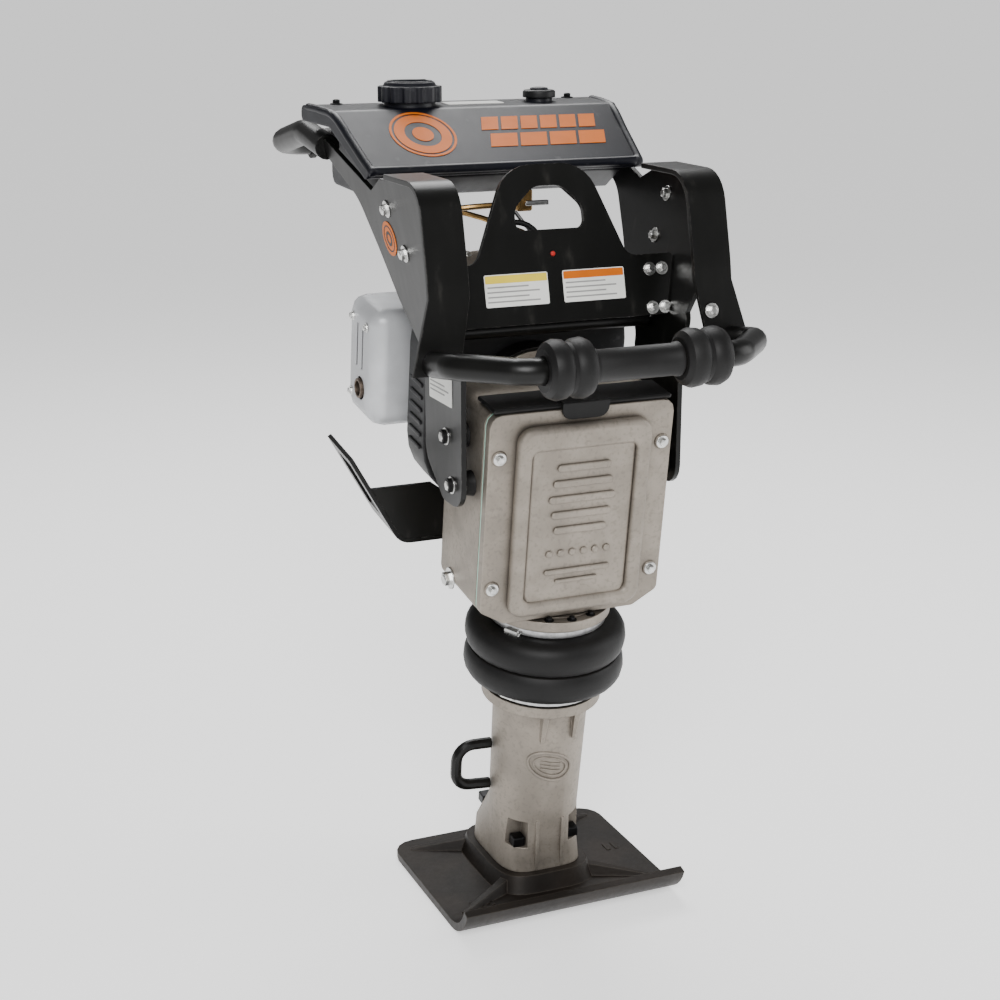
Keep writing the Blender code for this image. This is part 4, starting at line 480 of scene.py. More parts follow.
def round_edges(node, width, joined, shaded):
    """Joins a node's split corners, rounds its edges and shades its round faces smooth."""
    obj = frame["nodes"][node]
    join = obj.modifiers.new("join_corners", "NODES")
    join.node_group = joined
    if width:
        flat = obj.modifiers.new("flat_faces", "DECIMATE")
        flat.decimate_type = "DISSOLVE"
        flat.angle_limit = FLAT_WITHIN
        cut_edges(obj, width)
    smooth = obj.modifiers.new("smooth_faces", "NODES")
    smooth.node_group = shaded
    if width:
        even = obj.modifiers.new("even_faces", "WEIGHTED_NORMAL")
        even.keep_sharp = True


def on_ram(x, v, s):
    return RAM @ Vector((x, v, s))


def facing(point, direction, up=(0, 0, 1)):
    """A matrix at the point whose Z looks along the direction and whose Y leans towards up."""
    out = Vector(direction).normalized()
    side = Vector(up).cross(out).normalized()
    return Matrix.Translation(point) @ Matrix((side, out.cross(side), out)).transposed().to_4x4()


def on_lift_plate(x, z):
    """A matrix on the front face of the lift plate."""
    out = Vector((0, -1, LIFT_SLOPE)).normalized()
    middle = Vector((x, LIFT_FOOT_Y + LIFT_SLOPE * (z - LIFT_BOTTOM_Z), z))
    return facing(middle + out * LIFT_HALF, out)


def on_side_plate(side, y, z, outside=True):
    """A matrix on the outer or inner face of a side plate; side is -1 on the left and 1 on the right."""
    rise = max(0.0, z - SPLAY_START)
    out = Vector((side, 0, -SPLAY_SLOPE if rise else 0)).normalized()
    half = SIDE_FACE_X - 0.130
    middle = Vector((side * (0.130 + rise * SPLAY_SLOPE), y, z))
    way = out if outside else -out
    return facing(middle + way * half, way)


def top_centre(node):
    """The middle of the top of a node's box."""
    low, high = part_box(node)
    return Vector(((low.x + high.x) / 2, (low.y + high.y) / 2, high.z))


def on_node(node, start, way):
    """A matrix where a line from start first meets a CAD node, looking out of its face."""
    mesh = frame["nodes"][node].data
    tree = BVHTree.FromPolygons([v.co for v in mesh.vertices], [p.vertices for p in mesh.polygons])
    point, normal, _, _ = tree.ray_cast(Vector(start), Vector(way).normalized())
    if point is None:
        raise RuntimeError(f"nothing of {node} lies ahead of {start}")
    if normal.dot(Vector(way)) > 0:
        normal = -normal
    up = (0, 1, 0) if abs(normal.z) > 0.8 else (0, 0, 1)
    return facing(point + normal * 0.0001, normal, up)


def bridge(bm, low, high):
    """Faces between two rings; a ring of one vertex is a point."""
    count = max(len(low), len(high))
    for i in range(count):
        corners = [low[i % len(low)], low[(i + 1) % len(low)],
                   high[(i + 1) % len(high)], high[i % len(high)]]
        bm.faces.new(list(dict.fromkeys(corners)))


def turn(bm, place, profile, steps=28, closed=False):
    """A turned body: profile holds (radius, height) pairs; a closed one is a ring."""
    rings = []
    for radius, height in profile:
        angles = [2 * math.pi * i / steps for i in range(steps if radius else 1)]
        rings.append([bm.verts.new(place @ Vector((radius * math.cos(a), radius * math.sin(a), height)))
                      for a in angles])
    for low, high in zip(rings, rings[1:] + (rings[:1] if closed else [])):
        bridge(bm, low, high)


def slab(bm, place, outline, thickness, hole=None):
    """A flat body with this outline, and with a hole of as many points if one is given."""
    loops = [outline] if hole is None else [outline, hole]
    rings = []
    for loop in loops:
        for height in (0.0, thickness):
            rings.append([bm.verts.new(place @ Vector((x, y, height))) for x, y in loop])
    bridge(bm, rings[0], rings[1])
    if hole is None:
        bm.faces.new(rings[0])
        bm.faces.new(rings[1])
        return
    bridge(bm, rings[3], rings[2])
    bridge(bm, rings[0], rings[2])
    bridge(bm, rings[1], rings[3])


def oblong(half_x, half_y, radius, steps=5, centre=(0, 0)):
    """A rectangle with round corners."""
    points = []
    for quarter, (sx, sy) in enumerate(((1, 1), (-1, 1), (-1, -1), (1, -1))):
        for i in range(steps + 1):
            angle = math.pi / 2 * (quarter + i / steps)
            points.append((centre[0] + sx * (half_x - radius) + radius * math.cos(angle),
                           centre[1] + sy * (half_y - radius) + radius * math.sin(angle)))
    return points


def oval(half_x, half_y, steps=40):
    angles = [2 * math.pi * i / steps for i in range(steps)]
    return [(half_x * math.cos(a), half_y * math.sin(a)) for a in angles]


def sweep(bm, points, radius, steps=10, closed=False, smooth=5):
    """A round tube through the points, on a smooth curve."""
    ends = points if closed else [2 * points[0] - points[1], *points, 2 * points[-1] - points[-2]]
    count = len(points) if closed else len(points) - 1
    path = []
    for i in range(count):
        a, b, c, d = (ends[(i + k - (1 if closed else 0)) % len(ends)] for k in range(4))
        for j in range(smooth):
            t = j / smooth
            path.append(0.5 * (2 * b + (c - a) * t + (2 * a - 5 * b + 4 * c - d) * t * t
                               + (3 * b - a - 3 * c + d) * t ** 3))
    if not closed:
        path.append(points[-1].copy())
    rings, side = [], None
    for i, point in enumerate(path):
        before = path[i - 1] if i or closed else point
        after = path[(i + 1) % len(path)] if i + 1 < len(path) or closed else point
        along = (after - before).normalized()
        side = (side or along.orthogonal())
        side = (side - along * side.dot(along)).normalized()
        other = along.cross(side)
        angles = [2 * math.pi * k / steps for k in range(steps)]
        rings.append([bm.verts.new(point + radius * (math.cos(a) * side + math.sin(a) * other))
                      for a in angles])
    for low, high in zip(rings, rings[1:]):
        bridge(bm, low, high)
    if closed:
        bridge(bm, rings[-1], rings[0])
    else:
        bm.faces.new(rings[0])
        bm.faces.new(rings[-1])


def bolt(bm, place, across, washer=True):
    """A hexagon head on a washer, with the end of its mark ring on top."""
    radius = across / math.sqrt(3)
    thick = across * 0.12 if washer else 0.0
    rim = across * 0.92
    if washer:
        ring = [(0, 0), (rim, 0), (rim, thick * 0.7), (rim - thick * 0.3, thick), (0, thick)]
        turn(bm, place, ring, 24)
    top = thick + across * 0.52
    soft = across * 0.05
    head = [(0, thick), (radius, thick), (radius, top - soft), (radius - soft * 1.6, top), (0, top)]
    turn(bm, place, head, 6)
    turn(bm, place, [(0, top), (radius * 0.66, top), (radius * 0.60, top + soft), (0, top + soft)], 18)


def bolts(name, places, across, body, finish="zinc", washer=True):
    bm = bmesh.new()
    for place in places:
        bolt(bm, place, across, washer)
    piece(name, bm, finish, body)


def new_object(name, bm, material):
    """An object of this shape and material in the scene, smooth except at its sharp edges."""
    mesh = bpy.data.meshes.new(name)
    bm.to_mesh(mesh)
    bm.free()
    if "custom_normal" in mesh.attributes:
        mesh.attributes.remove(mesh.attributes["custom_normal"])
    mesh.shade_smooth()
    mesh.set_sharp_from_angle(angle=SHARP_FROM)
    mesh.materials.clear()
    mesh.materials.append(material)
    obj = bpy.data.objects.new(name, mesh)
    bpy.context.scene.collection.objects.link(obj)
    return obj


def piece(name, bm, finish, body, edge=0.0, segments=2):
    """Makes the object, gives it its finish and sets it riding on a body."""
    bmesh.ops.recalc_face_normals(bm, faces=bm.faces)
    obj = new_object(name, bm, FINISHES[finish])
    if edge:
        cut_edges(obj, edge, segments)
    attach(obj, body)


def around(centre, axis, radius, angle):
    """A matrix on a circle round an axis, looking away from it; angle 0 is to the front."""
    up = Vector(axis).normalized()
    front = RAM.to_3x3() @ Vector((0, -1, 0))
    out = Matrix.Rotation(angle, 3, up) @ front
    return facing(centre + out * radius, out, up)


class RAMMER_OT_finishes(bpy.types.Operator):
    """Gives every solid node its finish, rounded edges and smooth round faces"""

    bl_idname = "rammer.finishes"
    bl_label = "Finishes"

    def execute(self, context):
        FINISHES.update(mix_finishes())
        joined = shading_group("rammer_join", 0.0, True)
        shaded = shading_group("rammer_shade", SHARP_FROM, False)
        for node, obj in frame["nodes"].items():
            finish = NODE_FINISH.get(node) or SLOT_FINISH[SLOT_OF[node]]
            obj.data.materials.clear()
            obj.data.materials.append(FINISHES[finish])
            width = 0.0 if node in UNCUT else EDGE_OF.get(node, sizes().edge * NODE_EDGE)
            round_edges(node, width, joined, shaded)
        return {"FINISHED"}


class RAMMER_OT_soft(bpy.types.Operator):
    """Stands soft copies for the bellows, springs, mounts, hose and cable, which cross joints"""

    bl_idname = "rammer.soft"
    bl_label = "Soft parts"

    def execute(self, context):
        self.soften("bellows", "leg", CASE, on_ram(0, 0, 0.272), on_ram(0, 0, 0.364))
        self.soften("lower_spring", "leg", "piston", on_ram(0, 0, 0.057), on_ram(0, 0, 0.110))
        self.soften("upper_spring", "piston", "leg", on_ram(0, 0, 0.136), on_ram(0, 0, 0.179))
        for node in ("fuel_hose", "throttle_cable"):
            self.soften(node, CASE, FRAME, (0, 0, 0.665), (0, 0, 0.775))
        for side, name in ((-1, "left"), (1, "right")):
            for row in ("upper", "lower"):
                self.soften(f"shock_mount_{row}_{name}", CASE, FRAME,
                            (side * 0.1105, 0, 0), (side * 0.1265, 0, 0))
        return {"FINISHED"}

    def soften(self, node, first, second, start, end):
        """Stands a welded copy for a node; first, second, start and end are not used."""
        source = frame["nodes"][node]
        bm = bmesh.new()
        bm.from_mesh(source.data)
        bm.transform(source.matrix_world)
        bmesh.ops.remove_doubles(bm, verts=bm.verts, dist=WELD)
        obj = new_object(f"{node}_soft", bm, source.data.materials[0])
        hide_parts(node)
        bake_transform(obj)


class RAMMER_OT_leg(bpy.types.Operator):
    """Adds the plain oval badge, the cast marks on the shoe and the bellows' clamp screws"""

    bl_idname = "rammer.leg"
    bl_label = "Leg and shoe"

    def execute(self, context):
        self.badge()
        self.shoe_marks()
        self.clamp_screws()
        return {"FINISHED"}

    def badge(self):
        """Two raised ovals round three plain bars, wrapped round the leg."""
        radius, height, turned = 0.0552, 0.181, math.radians(7)

        def wrap(across, up):
            angle = turned + across / radius
            return on_ram(-radius * math.sin(angle), -radius * math.cos(angle), height + up)

        bm = bmesh.new()
        for half_x, half_y, thick in ((0.0275, 0.0180, 0.0020), (0.0205, 0.0118, 0.0013)):
            ring = [wrap(x, y + x * 0.24) for x, y in oval(half_x, half_y, 28)]
            sweep(bm, ring, thick, 8, True, 2)
        for shift in (-0.006, 0.0, 0.006):
            bar = [wrap(x, shift * 0.8 + x * 0.24) for x in (-0.012, -0.006, 0.0, 0.006, 0.012)]
            sweep(bm, bar, 0.0013, 8)
        piece("leg_badge", bm, "alloy", "leg")

    def shoe_marks(self):
        """Short cast bars on both wings of the shoe."""
        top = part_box("shoe_plate")[0].z + 0.010
        bm = bmesh.new()
        for centre, count in (((-0.104, -0.062), 3), ((0.106, 0.010), 2)):
            for i in range(count):
                place = Matrix.Translation((centre[0] + 0.011 * i, centre[1], top - SINK))
                slab(bm, place, oblong(0.0028, 0.009, 0.0024), 0.0014)
        piece("shoe_cast_marks", bm, "iron", "leg", 0.0004)

    def clamp_screws(self):
        """Worm screw housings on the two clamps."""
        for name, height, body in (("lower", 0.2775, "leg"), ("upper", 0.3585, CASE)):
            bm = bmesh.new()
            place = around(on_ram(0, 0, height), RAM_UP, 0.0688, math.radians(-58))
            slab(bm, place, oblong(0.0085, 0.0040, 0.0015), 0.0052)
            sideways = Matrix.Rotation(math.pi / 2, 4, "Y")
            screw = place @ Matrix.Translation((0.0080, 0, 0.0030)) @ sideways
            turn(bm, screw, [(0, 0), (0.0030, 0), (0.0030, 0.0035), (0.0024, 0.0042), (0, 0.0042)], 6)
            piece(f"clamp_screw_{name}", bm, "zinc", body, 0.0003)


class RAMMER_OT_crankcase(bpy.types.Operator):
    """Adds the cast ribs, bolts and rubber tab of the crankcase"""

    bl_idname = "rammer.crankcase"
    bl_label = "Crankcase"

    def execute(self, context):
        front = -RAM_BACK
        self.cast_ribs(front)
        self.tab()
        cover = [facing(on_ram(x, COVER_FACE, s), front, RAM_UP)
                 for x in (-0.0975, 0.0975) for s in (0.428, 0.583)]
        lugs = bmesh.new()
        for place in cover:
            turn(lugs, place, [(0, 0), (0.0092, 0), (0.0080, LUG_HEIGHT), (0, LUG_HEIGHT)], 24)
        piece("cover_lugs", lugs, "alloy", CASE, 0.0004)
        lifted = [place @ Matrix.Translation((0, 0, LUG_HEIGHT)) for place in cover]
        bolts("cover_bolts", lifted, sizes().cover_bolt, CASE)
        flange = [facing(on_ram(0.0660 * math.sin(a), -0.0660 * math.cos(a), FLANGE_TOP), RAM_UP, front)
                  for a in (math.radians(-23), 0.0, math.radians(23))]
        bolts("guide_bolts", flange, 0.0062, CASE, "black_oxide")
        plug = [facing(on_ram(0.110, 0.022, 0.402), (1, 0, 0)),
                facing(on_ram(-0.110, 0.030, 0.402), (-1, 0, 0))]
        bolts("case_plugs", plug, 0.014, CASE)
        return {"FINISHED"}

    def cast_ribs(self, front):
        """A raised border, a stack of round-ended ribs and a row of studs on the cover panel."""
        high = sizes().emboss
        middle = (PANEL_LOW + PANEL_HIGH) / 2
        half = (PANEL_HIGH - PANEL_LOW) / 2
        place = facing(on_ram(0, PANEL_FACE + SINK, middle), front, RAM_UP)
        bm = bmesh.new()
        for i in range(5):
            half_x, middle_y = 0.040 - 0.004 * abs(i - 2), 0.062 - 0.0185 * i
            slab(bm, place, oblong(half_x, 0.0042, 0.0041, 5, (0, middle_y)), high)
        for i in range(6):
            stud = place @ Matrix.Translation((-0.035 + 0.014 * i, -0.040, 0))
            turn(bm, stud, [(0, 0), (0.0046, 0), (0.0038, high * 0.9), (0, high)], 20)
        slab(bm, place, oblong(0.040, 0.0030, 0.0029, 5, (0, -0.062)), high)
        slab(bm, place, oblong(0.026, 0.0022, 0.0021, 5, (0, -0.074)), high)
        piece("cover_cast_ribs", bm, "alloy", CASE, 0.0012)
        rim = bmesh.new()
        base = facing(on_ram(0, COVER_FACE + SINK, middle - 0.001), front, RAM_UP)
        slab(rim, base, oblong(0.080, half + 0.0145, 0.018, 6), 0.0140,
             oblong(0.0625, half - 0.0085, 0.008, 6, (0, -0.0055)))
        piece("cover_rim", rim, "alloy", CASE, 0.0062, 4)

    def tab(self):
        """The rubber tab that hangs from the top pad over the cover."""
        bm = bmesh.new()
        half, drop, corner = 0.028, 0.0195, 0.012
        place = facing(on_ram(0, COVER_FACE - 0.0004, PAD_TOP + 0.0022), -RAM_BACK, RAM_UP)
        outline = [(half, 0), (half, -drop + corner)]
        for i in range(7):
            angle = -math.pi / 2 * i / 6
            outline.append((half - corner + corner * math.cos(angle),
                            -drop + corner + corner * math.sin(angle)))
        outline += [(-x, y) for x, y in reversed(outline)]
        slab(bm, place, outline[:1] + outline[2:-2] + outline[-1:], 0.0034)
        top = facing(on_ram(0, COVER_FACE + 0.0104, PAD_TOP + 0.0002), RAM_UP, RAM_BACK)
        slab(bm, top, oblong(half, 0.0142, 0.002), 0.0020)
        piece("pad_tab", bm, "rubber", CASE, 0.0006)


class RAMMER_OT_engine(bpy.types.Operator):
    """Adds the starter ribs, bolts, exhaust outlet, air cleaner knob and spark lead"""

    bl_idname = "rammer.engine"
    bl_label = "Engine"

    def execute(self, context):
        self.starter()
        self.housing_ribs()
        self.bell_shroud()
        self.exhaust()
        self.cleaner()
        self.spark_lead()
        small = sizes().small_bolt
        rear = [facing(on_ram(x, BLOCK_REAR, s), RAM_BACK, RAM_UP)
                for x in (-0.049, 0.049) for s in (0.509, 0.641)]
        bolts("block_bolts", rear, small, CASE)
        head = [facing(on_ram(x, BARREL_V + v, BARREL_TOP), RAM_UP, RAM_BACK)
                for x in (-0.026, 0.026) for v in (-0.026, 0.026)]
        bolts("head_bolts", head, small, CASE)
        return {"FINISHED"}

    def starter(self):
        """Radial ribs, a rim and a centre boss on the starter cover."""
        place = facing(on_ram(0, STARTER_FACE - SINK, SHAFT_HEIGHT), RAM_BACK, RAM_UP)
        bm = bmesh.new()
        turn(bm, place, [(0.046, 0), (0.052, 0), (0.051, 0.0024), (0.047, 0.0024)], 44, True)
        turn(bm, place, [(0, 0), (0.016, 0), (0.0145, 0.0034), (0.010, 0.0040), (0, 0.0040)], 32)
        for i in range(14):
            spoke = place @ Matrix.Rotation(2 * math.pi * i / 14, 4, "Z")
            slab(bm, spoke, oblong(0.0145, 0.0013, 0.0012, 3, (0.0315, 0)), 0.0022)
        piece("starter_ribs", bm, "cover_plastic", CASE, 0.0003)

    def housing_ribs(self):
        """Cooling ribs on both ends of the fan housing."""
        bm = bmesh.new()
        low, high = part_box("fan_housing")
        for side, face in ((-1, low.x), (1, high.x)):
            for i in range(6):
                foot = on_ram(face - side * SINK, 0.1225, 0.535 + 0.015 * i)
                place = facing(foot, (side, 0, 0), RAM_UP)
                slab(bm, place, oblong(0.0185, 0.0024, 0.0023, 4), 0.0022)
        piece("housing_ribs", bm, "cover_plastic", CASE, 0.0005)

    def bell_shroud(self):
        """The black sheet over the clutch bell, between the crankcase and the fan housing."""
        outer, inner = 0.0720, 0.0692
        arc = [math.radians(4 + 172 * i / 24) for i in range(25)]
        outline = [(outer * math.cos(a), outer * math.sin(a)) for a in arc]
        outline += [(inner * math.cos(a), inner * math.sin(a)) for a in reversed(arc)]
        bm = bmesh.new()
        rows = []
        for depth in (0.0715, 0.0945):
            place = facing(on_ram(0, depth, SHAFT_HEIGHT), RAM_BACK, RAM_UP)
            rows.append([bm.verts.new(place @ Vector((x, y, 0))) for x, y in outline])
        bridge(bm, rows[0], rows[1])
        half = len(arc)
        for row in rows:
            for i in range(half - 1):
                bm.faces.new([row[i], row[i + 1], row[-2 - i], row[-1 - i]])
        piece("bell_shroud", bm, "paint", CASE)

    def exhaust(self):
        """The outlet pipe in the guard and the screws that hold the guard."""
        bm = bmesh.new()
        place = facing(on_ram(GUARD_FACE_X + 0.0085, 0.219, 0.570), (-1, 0, 0), RAM_UP)
        turn(bm, place, [(0.0090, 0), (0.0118, 0), (0.0118, 0.0120), (0.0090, 0.0120)], 28, True)
        piece("exhaust_outlet", bm, "hot_steel", CASE, 0.0005)
        screws = [facing(on_ram(GUARD_FACE_X, v, s), (-1, 0, 0), RAM_UP)
                  for v, s in ((0.202, 0.650), (0.250, 0.650), (0.250, 0.556))]
        bolts("guard_screws", screws, sizes().small_bolt, CASE)

    def cleaner(self):
        """The knob and the moulded ribs of the air cleaner, and the oil filler."""
        bm = bmesh.new()
        face = facing(on_ram(CLEANER_FACE_X - SINK, 0.199, 0.626), (1, 0, 0), RAM_UP)
        turn(bm, face, [(0, 0), (0.013, 0), (0.012, 0.0085), (0.009, 0.0100), (0, 0.0100)], 12)
        for i in (-2, -1, 1, 2):
            slab(bm, face, oblong(0.024, 0.0020, 0.0019, 4, (0, 0.0165 * i)), 0.0020)
        piece("cleaner_knob", bm, "cover_plastic", CASE, 0.0006)
        oil = bmesh.new()
        place = facing(on_ram(0.0578, 0.205, 0.522), (1, 0, 0), RAM_UP)
        plug = [(0, 0), (0.0120, 0), (0.0120, 0.004), (0.0100, 0.005), (0.0100, 0.012), (0, 0.013)]
        turn(oil, place, plug, 10)
        piece("oil_filler", oil, "cover_plastic", CASE, 0.0005)

    def spark_lead(self):
        """The lead from the plug cap over the fan housing."""
        start = top_centre("spark_plug_cap") - Vector((0, 0, 0.003))
        housing_low, housing_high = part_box("fan_housing")
        end_y, end_z = housing_low.y + 0.040, housing_high.z
        points = [start, start + Vector((0, 0, 0.012)), start + Vector((0.014, -0.008, 0.021)),
                  start + Vector((0.036, -0.024, 0.014)), Vector((0.058, end_y + 0.008, end_z + 0.022)),
                  Vector((0.064, end_y, end_z - 0.004))]
        bm = bmesh.new()
        sweep(bm, points, 0.0034, 12)
        piece("spark_lead", bm, "rubber", CASE)


class RAMMER_OT_frame(bpy.types.Operator):
    """Adds the bolts, sleeve, grip, labels and stickers of the lifting frame"""

    bl_idname = "rammer.frame"
    bl_label = "Lifting frame"

    def execute(self, context):
        self.frame_bolts()
        self.sleeves()
        self.plate_labels()
        self.side_stickers()
        return {"FINISHED"}

    def frame_bolts(self):
        size = sizes().frame_bolt
        outer = [on_side_plate(side, y, z) for side in (-1, 1)
                 for y, z in ((0.010 - 0.015 * side, 0.821), (-0.001 + 0.005 * side, 0.776),
                              (-0.060, 0.583), (-0.076, 0.532))]
        outer += [on_side_plate(1, y, z) for y, z in ((0.0074, 0.742), (-0.0151, 0.690))]
        bolts("plate_bolts", outer, size, FRAME)
        inner = [on_side_plate(side, y, z, False) for side in (-1, 1)
                 for y, z in ((0.0074, 0.742), (-0.0151, 0.690))]
        bolts("plate_nuts", inner, size * 0.9, FRAME)
        inner_pair = [on_side_plate(1, y, z, False) for y, z in ((-0.005, 0.825), (0.004, 0.777))]
        bolts("plate_nuts_upper", inner_pair, size * 0.9, FRAME)
        wings = [on_lift_plate(side * x, z) for side in (-1, 1)
                 for x in (0.1165, 0.1320) for z in (0.748, 0.706)]
        bolts("lift_plate_bolts", wings, size * 0.78, FRAME)
        out = Vector((0, -0.97, 0.155)).normalized()
        bolts("band_bolt", [facing(Vector((0.150, -0.1334, 0.7130)), out)], size * 0.85, FRAME)
        rivet = bmesh.new()
        turn(rivet, on_lift_plate(0, 0.771), [(0, 0), (0.0030, 0), (0.0026, 0.0012), (0, 0.0018)], 18)
        piece("plate_rivet", rivet, "red", FRAME)

    def sleeves(self):
        """The rubber sleeve between the rollers and the ribbed grip on the rear handle."""
        bm = bmesh.new()
        radius, half = sizes().sleeve, 0.0490
        place = facing((-half, BAR_Y, BAR_Z), (1, 0, 0))
        profile = [(0.0141, 0), (radius + 0.0012, 0), (radius + 0.0012, 0.004), (radius, 0.006),
                   (radius, 2 * half - 0.006), (radius + 0.0012, 2 * half - 0.004),
                   (radius + 0.0012, 2 * half), (0.0141, 2 * half)]
        turn(bm, place, profile, 36, True)
        piece("bar_sleeve", bm, "rubber", FRAME, 0.0006)
        grip = bmesh.new()
        radius, start, ribs = sizes().grip, -0.128, 22
        profile = [(0.0151, 0), (radius + 0.002, 0), (radius + 0.002, 0.005), (radius, 0.006)]
        for i in range(ribs):
            at = 0.010 + 0.0080 * i
            groove = radius - 0.0008
            profile += [(radius, at), (groove, at + 0.0014), (groove, at + 0.0034), (radius, at + 0.0048)]
        profile += [(radius, 0.188), (0.0151, 0.188)]
        turn(grip, facing((start, GRIP_Y, GRIP_Z), (1, 0, 0)), profile, 32, True)
        piece("handle_grip", grip, "rubber", FRAME)

    def label(self, name, place, half_x, half_y, head, rows):
        """A blank label: a pale ground, a coloured head and ruled lines with nothing written on them."""
        lift = sizes().print_lift
        ground = bmesh.new()
        slab(ground, place, oblong(half_x, half_y, 0.002), lift)
        piece(f"{name}_ground", ground, "white", FRAME)
        band = bmesh.new()
        over = place @ Matrix.Translation((0, 0, lift))
        slab(band, over, oblong(half_x - 0.001, half_y * 0.24, 0.001, 3, (0, half_y * 0.70)), lift * 0.5)
        piece(f"{name}_head", band, head, FRAME)
        lines = bmesh.new()
        for i in range(rows):
            share = 0.88 if i % 2 else 0.70
            middle = (-(1 - share) * half_x * 0.9, half_y * (0.22 - 0.30 * i))
            slab(lines, over, oblong(half_x * share - 0.002, 0.0008, 0.0003, 2, middle), lift * 0.4)
        piece(f"{name}_lines", lines, "grey", FRAME)

    def plate_labels(self):
        for name, x, head in (("left_label", -0.0465, "yellow"), ("right_label", 0.0465, "orange")):
            self.label(name, on_lift_plate(x, 0.7355), 0.0375, 0.0175, head, 4)

    def side_stickers(self):
        """The blank white label and the round ring sticker on the left plate."""
        lift = sizes().print_lift
        self.label("side_label", on_side_plate(-1, -0.046, 0.634), 0.0330, 0.0160, "white", 3)
        disc = bmesh.new()
        place = on_side_plate(-1, 0.036, 0.787)
        turn(disc, place, [(0, 0), (0.0195, 0), (0.0195, lift), (0, lift)], 44)
        piece("round_sticker", disc, "orange", FRAME)
        ring = bmesh.new()
        over = place @ Matrix.Translation((0, 0, lift))
        for inner, outer in ((0.0135, 0.0150), (0.0050, 0.0085)):
            high = lift * 0.5
            turn(ring, over, [(inner, 0), (outer, 0), (outer, high), (inner, high)], 44, True)
        piece("round_sticker_rings", ring, "ink", FRAME)


class RAMMER_OT_tank(bpy.types.Operator):
    """Adds the stripes, oval rings, top label, cap rings and tank screws"""

    bl_idname = "rammer.tank"
    bl_label = "Tank"

    def execute(self, context):
        self.stripes()
        self.oval_rings()
        self.caps()
        self.hood_beads()
        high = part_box("fuel_tank")[1]
        screws = [on_node("fuel_tank", (x, high.y - 0.022, high.z + 0.05), (0, 0, -1))
                  for x in (-0.150, 0.150)]
        bolts("tank_screws", screws, 0.008, FRAME, "black_oxide")
        label = bmesh.new()
        place = on_node("fuel_tank", (0.012, high.y - 0.050, high.z + 0.05), (0, 0, -1))
        slab(label, place, oblong(0.036, 0.013, 0.002), sizes().print_lift)
        piece("tank_top_label", label, "white", FRAME)
        return {"FINISHED"}

    def slope(self, x, y):
        """A matrix on the sloping front of the tank."""
        return on_node("fuel_tank", (x, y, 1.0), (0, 0, -1))

    def stripes(self):
        """Two rows of plain slanted blocks."""
        lift = sizes().print_lift
        place = self.slope(0.066, 0.128)
        bm = bmesh.new()
        lean = 0.004
        for y, starts, width in ((0.0165, (-0.072, -0.047, -0.022, 0.003, 0.028, 0.053), 0.021),
                                 (-0.0165, (-0.072, -0.0345, 0.003, 0.0405), 0.0335)):
            for start in starts:
                outline = [(start - lean, y - 0.0125), (start + width - lean, y - 0.0125),
                           (start + width + lean, y + 0.0125), (start + lean, y + 0.0125)]
                slab(bm, place, outline, lift)
        piece("tank_stripes", bm, "orange", FRAME)

    def oval_rings(self):
        """Plain oval rings round a small oval."""
        lift = sizes().print_lift
        place = self.slope(-0.084, 0.128)
        bm = bmesh.new()
        for outer, inner in (((0.039, 0.043), (0.0362, 0.0398)), ((0.0335, 0.0368), (0.0215, 0.0235))):
            slab(bm, place, oval(*outer), lift, oval(*inner))
        slab(bm, place, oval(0.0125, 0.0135), lift)
        piece("tank_oval", bm, "orange", FRAME)

    def hood_beads(self):
        """The rolled lip round the front and sides of the tank's hood."""
        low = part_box("fuel_tank")[0]
        inset = 0.0045
        radius = 0.0052
        rows = ((low.y + 0.004, 0.170), (low.y + 0.050, 0.1755), (0.165, 0.1805),
                (0.200, 0.1845), (0.240, 0.1885))
        right = []
        for y, half in rows:
            hit = on_node("fuel_tank", (half - 0.010, y, 1.0), (0, 0, -1)).translation
            right.append(Vector((half - inset, y, hit.z - 0.0030)))
        corner = Vector((right[0].x - 0.004, right[0].y - 0.001, right[0].z - 0.0006))
        run = [*right[::-1], corner]
        run += [Vector((x, corner.y - 0.0006, corner.z - 0.0003)) for x in (0.14, 0.07, 0.0)]
        run += [Vector((-p.x, p.y, p.z)) for p in run[-2::-1]]
        bm = bmesh.new()
        sweep(bm, run, radius, 14, False, 6)
        piece("hood_lip", bm, "plastic", FRAME)

    def caps(self):
        """The grip ring and bar on top of the fuel cap, and the vent button."""
        bm = bmesh.new()
        place = Matrix.Translation(top_centre("fuel_cap") - Vector((0, 0, SINK)))
        turn(bm, place, [(0.0225, 0), (0.0275, 0), (0.0265, 0.0016), (0.0235, 0.0016)], 40, True)
        slab(bm, place, oblong(0.0205, 0.0035, 0.0034), 0.0026)
        piece("cap_grip", bm, "plastic", "fuel_cap_body", 0.0005)
        vent = Matrix.Translation(top_centre("tank_vent_cap") - Vector((0, 0, 0.0002)))
        button = bmesh.new()
        turn(button, vent, [(0, 0), (0.0115, 0), (0.0105, 0.0026), (0.0060, 0.0034), (0, 0.0034)], 28)
        piece("vent_button", button, "plastic", FRAME)


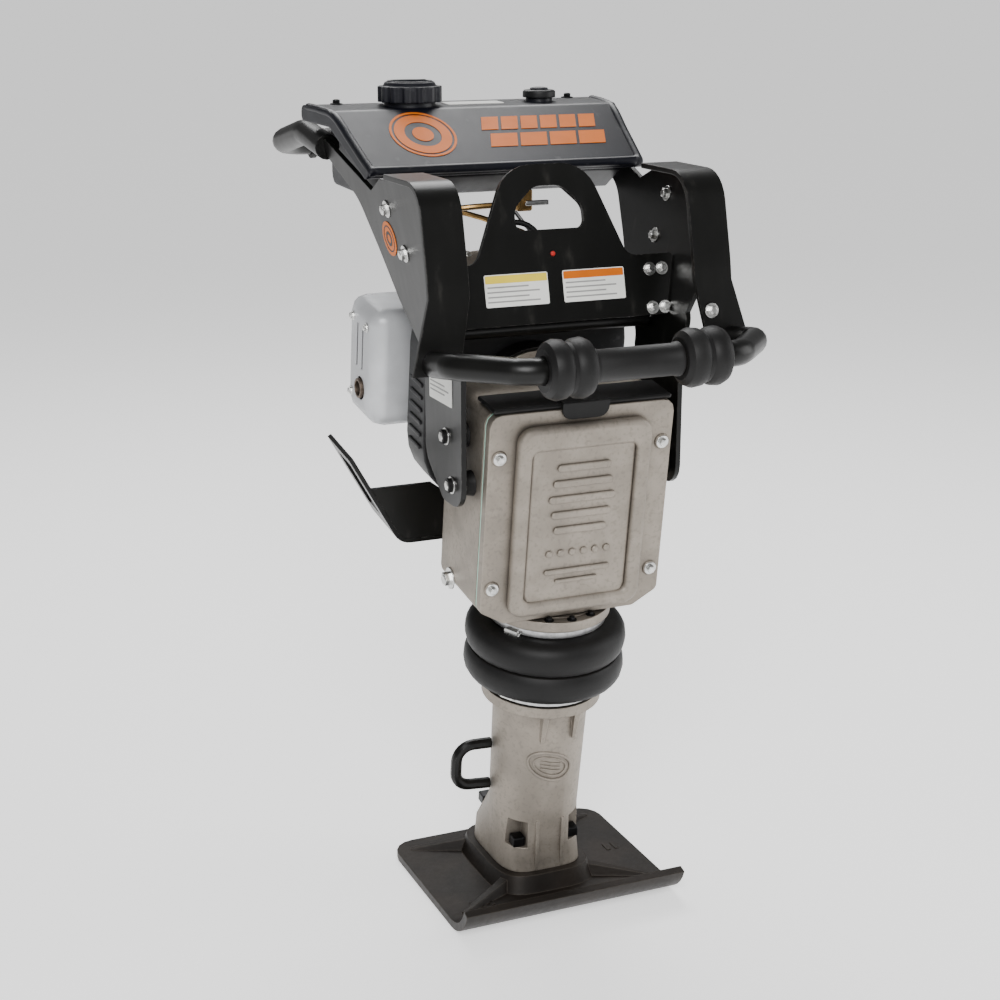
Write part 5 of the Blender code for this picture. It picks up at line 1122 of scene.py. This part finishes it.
class RAMMER_OT_stage(bpy.types.Operator):
    """Sets the pale floor, the soft lights and the camera"""

    bl_idname = "rammer.stage"
    bl_label = "Stage"

    def execute(self, context):
        settings = context.scene.rammer_stage
        self.floor(settings)
        self.lights(context, settings)
        data = bpy.data.cameras.new("studio_camera")
        data.lens = settings.focal_length
        data.sensor_width = SENSOR_WIDTH
        camera = bpy.data.objects.new("studio_camera", data)
        camera.location = settings.camera_place
        camera.rotation_euler = settings.camera_turn
        context.scene.collection.objects.link(camera)
        context.scene.camera = camera
        return {"FINISHED"}

    def floor(self, settings):
        bm = bmesh.new()
        turn(bm, Matrix.Translation((0, 0, -FLOOR_DROP)), [(0, 0), (FLOOR_RADIUS, 0)], 96)
        f = Finish("studio_floor", Specular_IOR_Level=0.2)
        cloud = f.noise(3, 2)
        f.feed(f.shader, {"Emission Color": WHITE, "Emission Strength": settings.glow})
        base = f.mix(cloud * 0.2, shade(settings.floor), shade(settings.floor, 1.04))
        new_object("studio_floor", bm, f.done(base, 0.85))

    def lights(self, context, settings):
        world = bpy.data.worlds.new("studio_room")
        world.use_nodes = True
        room = world.node_tree.nodes["Background"]
        room.inputs["Color"].default_value = WHITE
        room.inputs["Strength"].default_value = settings.room
        pale = world.node_tree.nodes.new("ShaderNodeBackground")
        pale.inputs["Color"].default_value = WHITE
        pale.inputs["Strength"].default_value = settings.horizon
        seen = world.node_tree.nodes.new("ShaderNodeLightPath")
        both = world.node_tree.nodes.new("ShaderNodeMixShader")
        links = world.node_tree.links
        links.new(seen.outputs["Is Camera Ray"], both.inputs["Fac"])
        links.new(room.outputs[0], both.inputs[1])
        links.new(pale.outputs[0], both.inputs[2])
        links.new(both.outputs[0], world.node_tree.nodes["World Output"].inputs["Surface"])
        context.scene.world = world
        middle = Vector((0, 0, 0.5))
        for name, place, size, power in (("key_light", (-1.2, -2.6, 2.4), 1.6, settings.key),
                                         ("fill_light", (2.6, -0.9, 1.3), 1.8, settings.fill),
                                         ("top_light", (0.4, 1.6, 2.6), 1.6, settings.rim)):
            data = bpy.data.lights.new(name, "AREA")
            data.size = size
            data.energy = power
            lamp = bpy.data.objects.new(name, data)
            lamp.matrix_world = facing(place, Vector(place) - middle)
            context.scene.collection.objects.link(lamp)


OPERATORS = (RAMMER_OT_stage, RAMMER_OT_finishes, RAMMER_OT_soft, RAMMER_OT_leg, RAMMER_OT_crankcase,
             RAMMER_OT_engine, RAMMER_OT_frame, RAMMER_OT_tank)


class RAMMER_PT_panel(bpy.types.Panel):
    """Lists the steps that dress the rammer"""

    bl_idname = "RAMMER_PT_panel"
    bl_label = "Rammer"
    bl_space_type = "VIEW_3D"
    bl_region_type = "UI"
    bl_category = "Rammer"

    def draw(self, context):
        for step in OPERATORS:
            self.layout.operator(step.bl_idname)
        scene = context.scene
        for group in (scene.rammer_sizes, scene.rammer_colours, scene.rammer_stage):
            column = self.layout.column()
            for name in group.__annotations__:
                column.prop(group, name)


GROUPS = {"rammer_colours": RammerColours, "rammer_sizes": RammerSizes, "rammer_stage": RammerStage}
CLASSES = (*GROUPS.values(), *OPERATORS, RAMMER_PT_panel)


def register():
    for cls in CLASSES:
        bpy.utils.register_class(cls)
    for name, group in GROUPS.items():
        setattr(bpy.types.Scene, name, PointerProperty(type=group))


def unregister():
    for name in GROUPS:
        delattr(bpy.types.Scene, name)
    for cls in reversed(CLASSES):
        bpy.utils.unregister_class(cls)


def main():
    register()
    for step in OPERATORS:
        getattr(bpy.ops.rammer, step.bl_idname.split(".")[1])()
    bpy.context.view_layer.update()


if __name__ == "__main__":
    main()
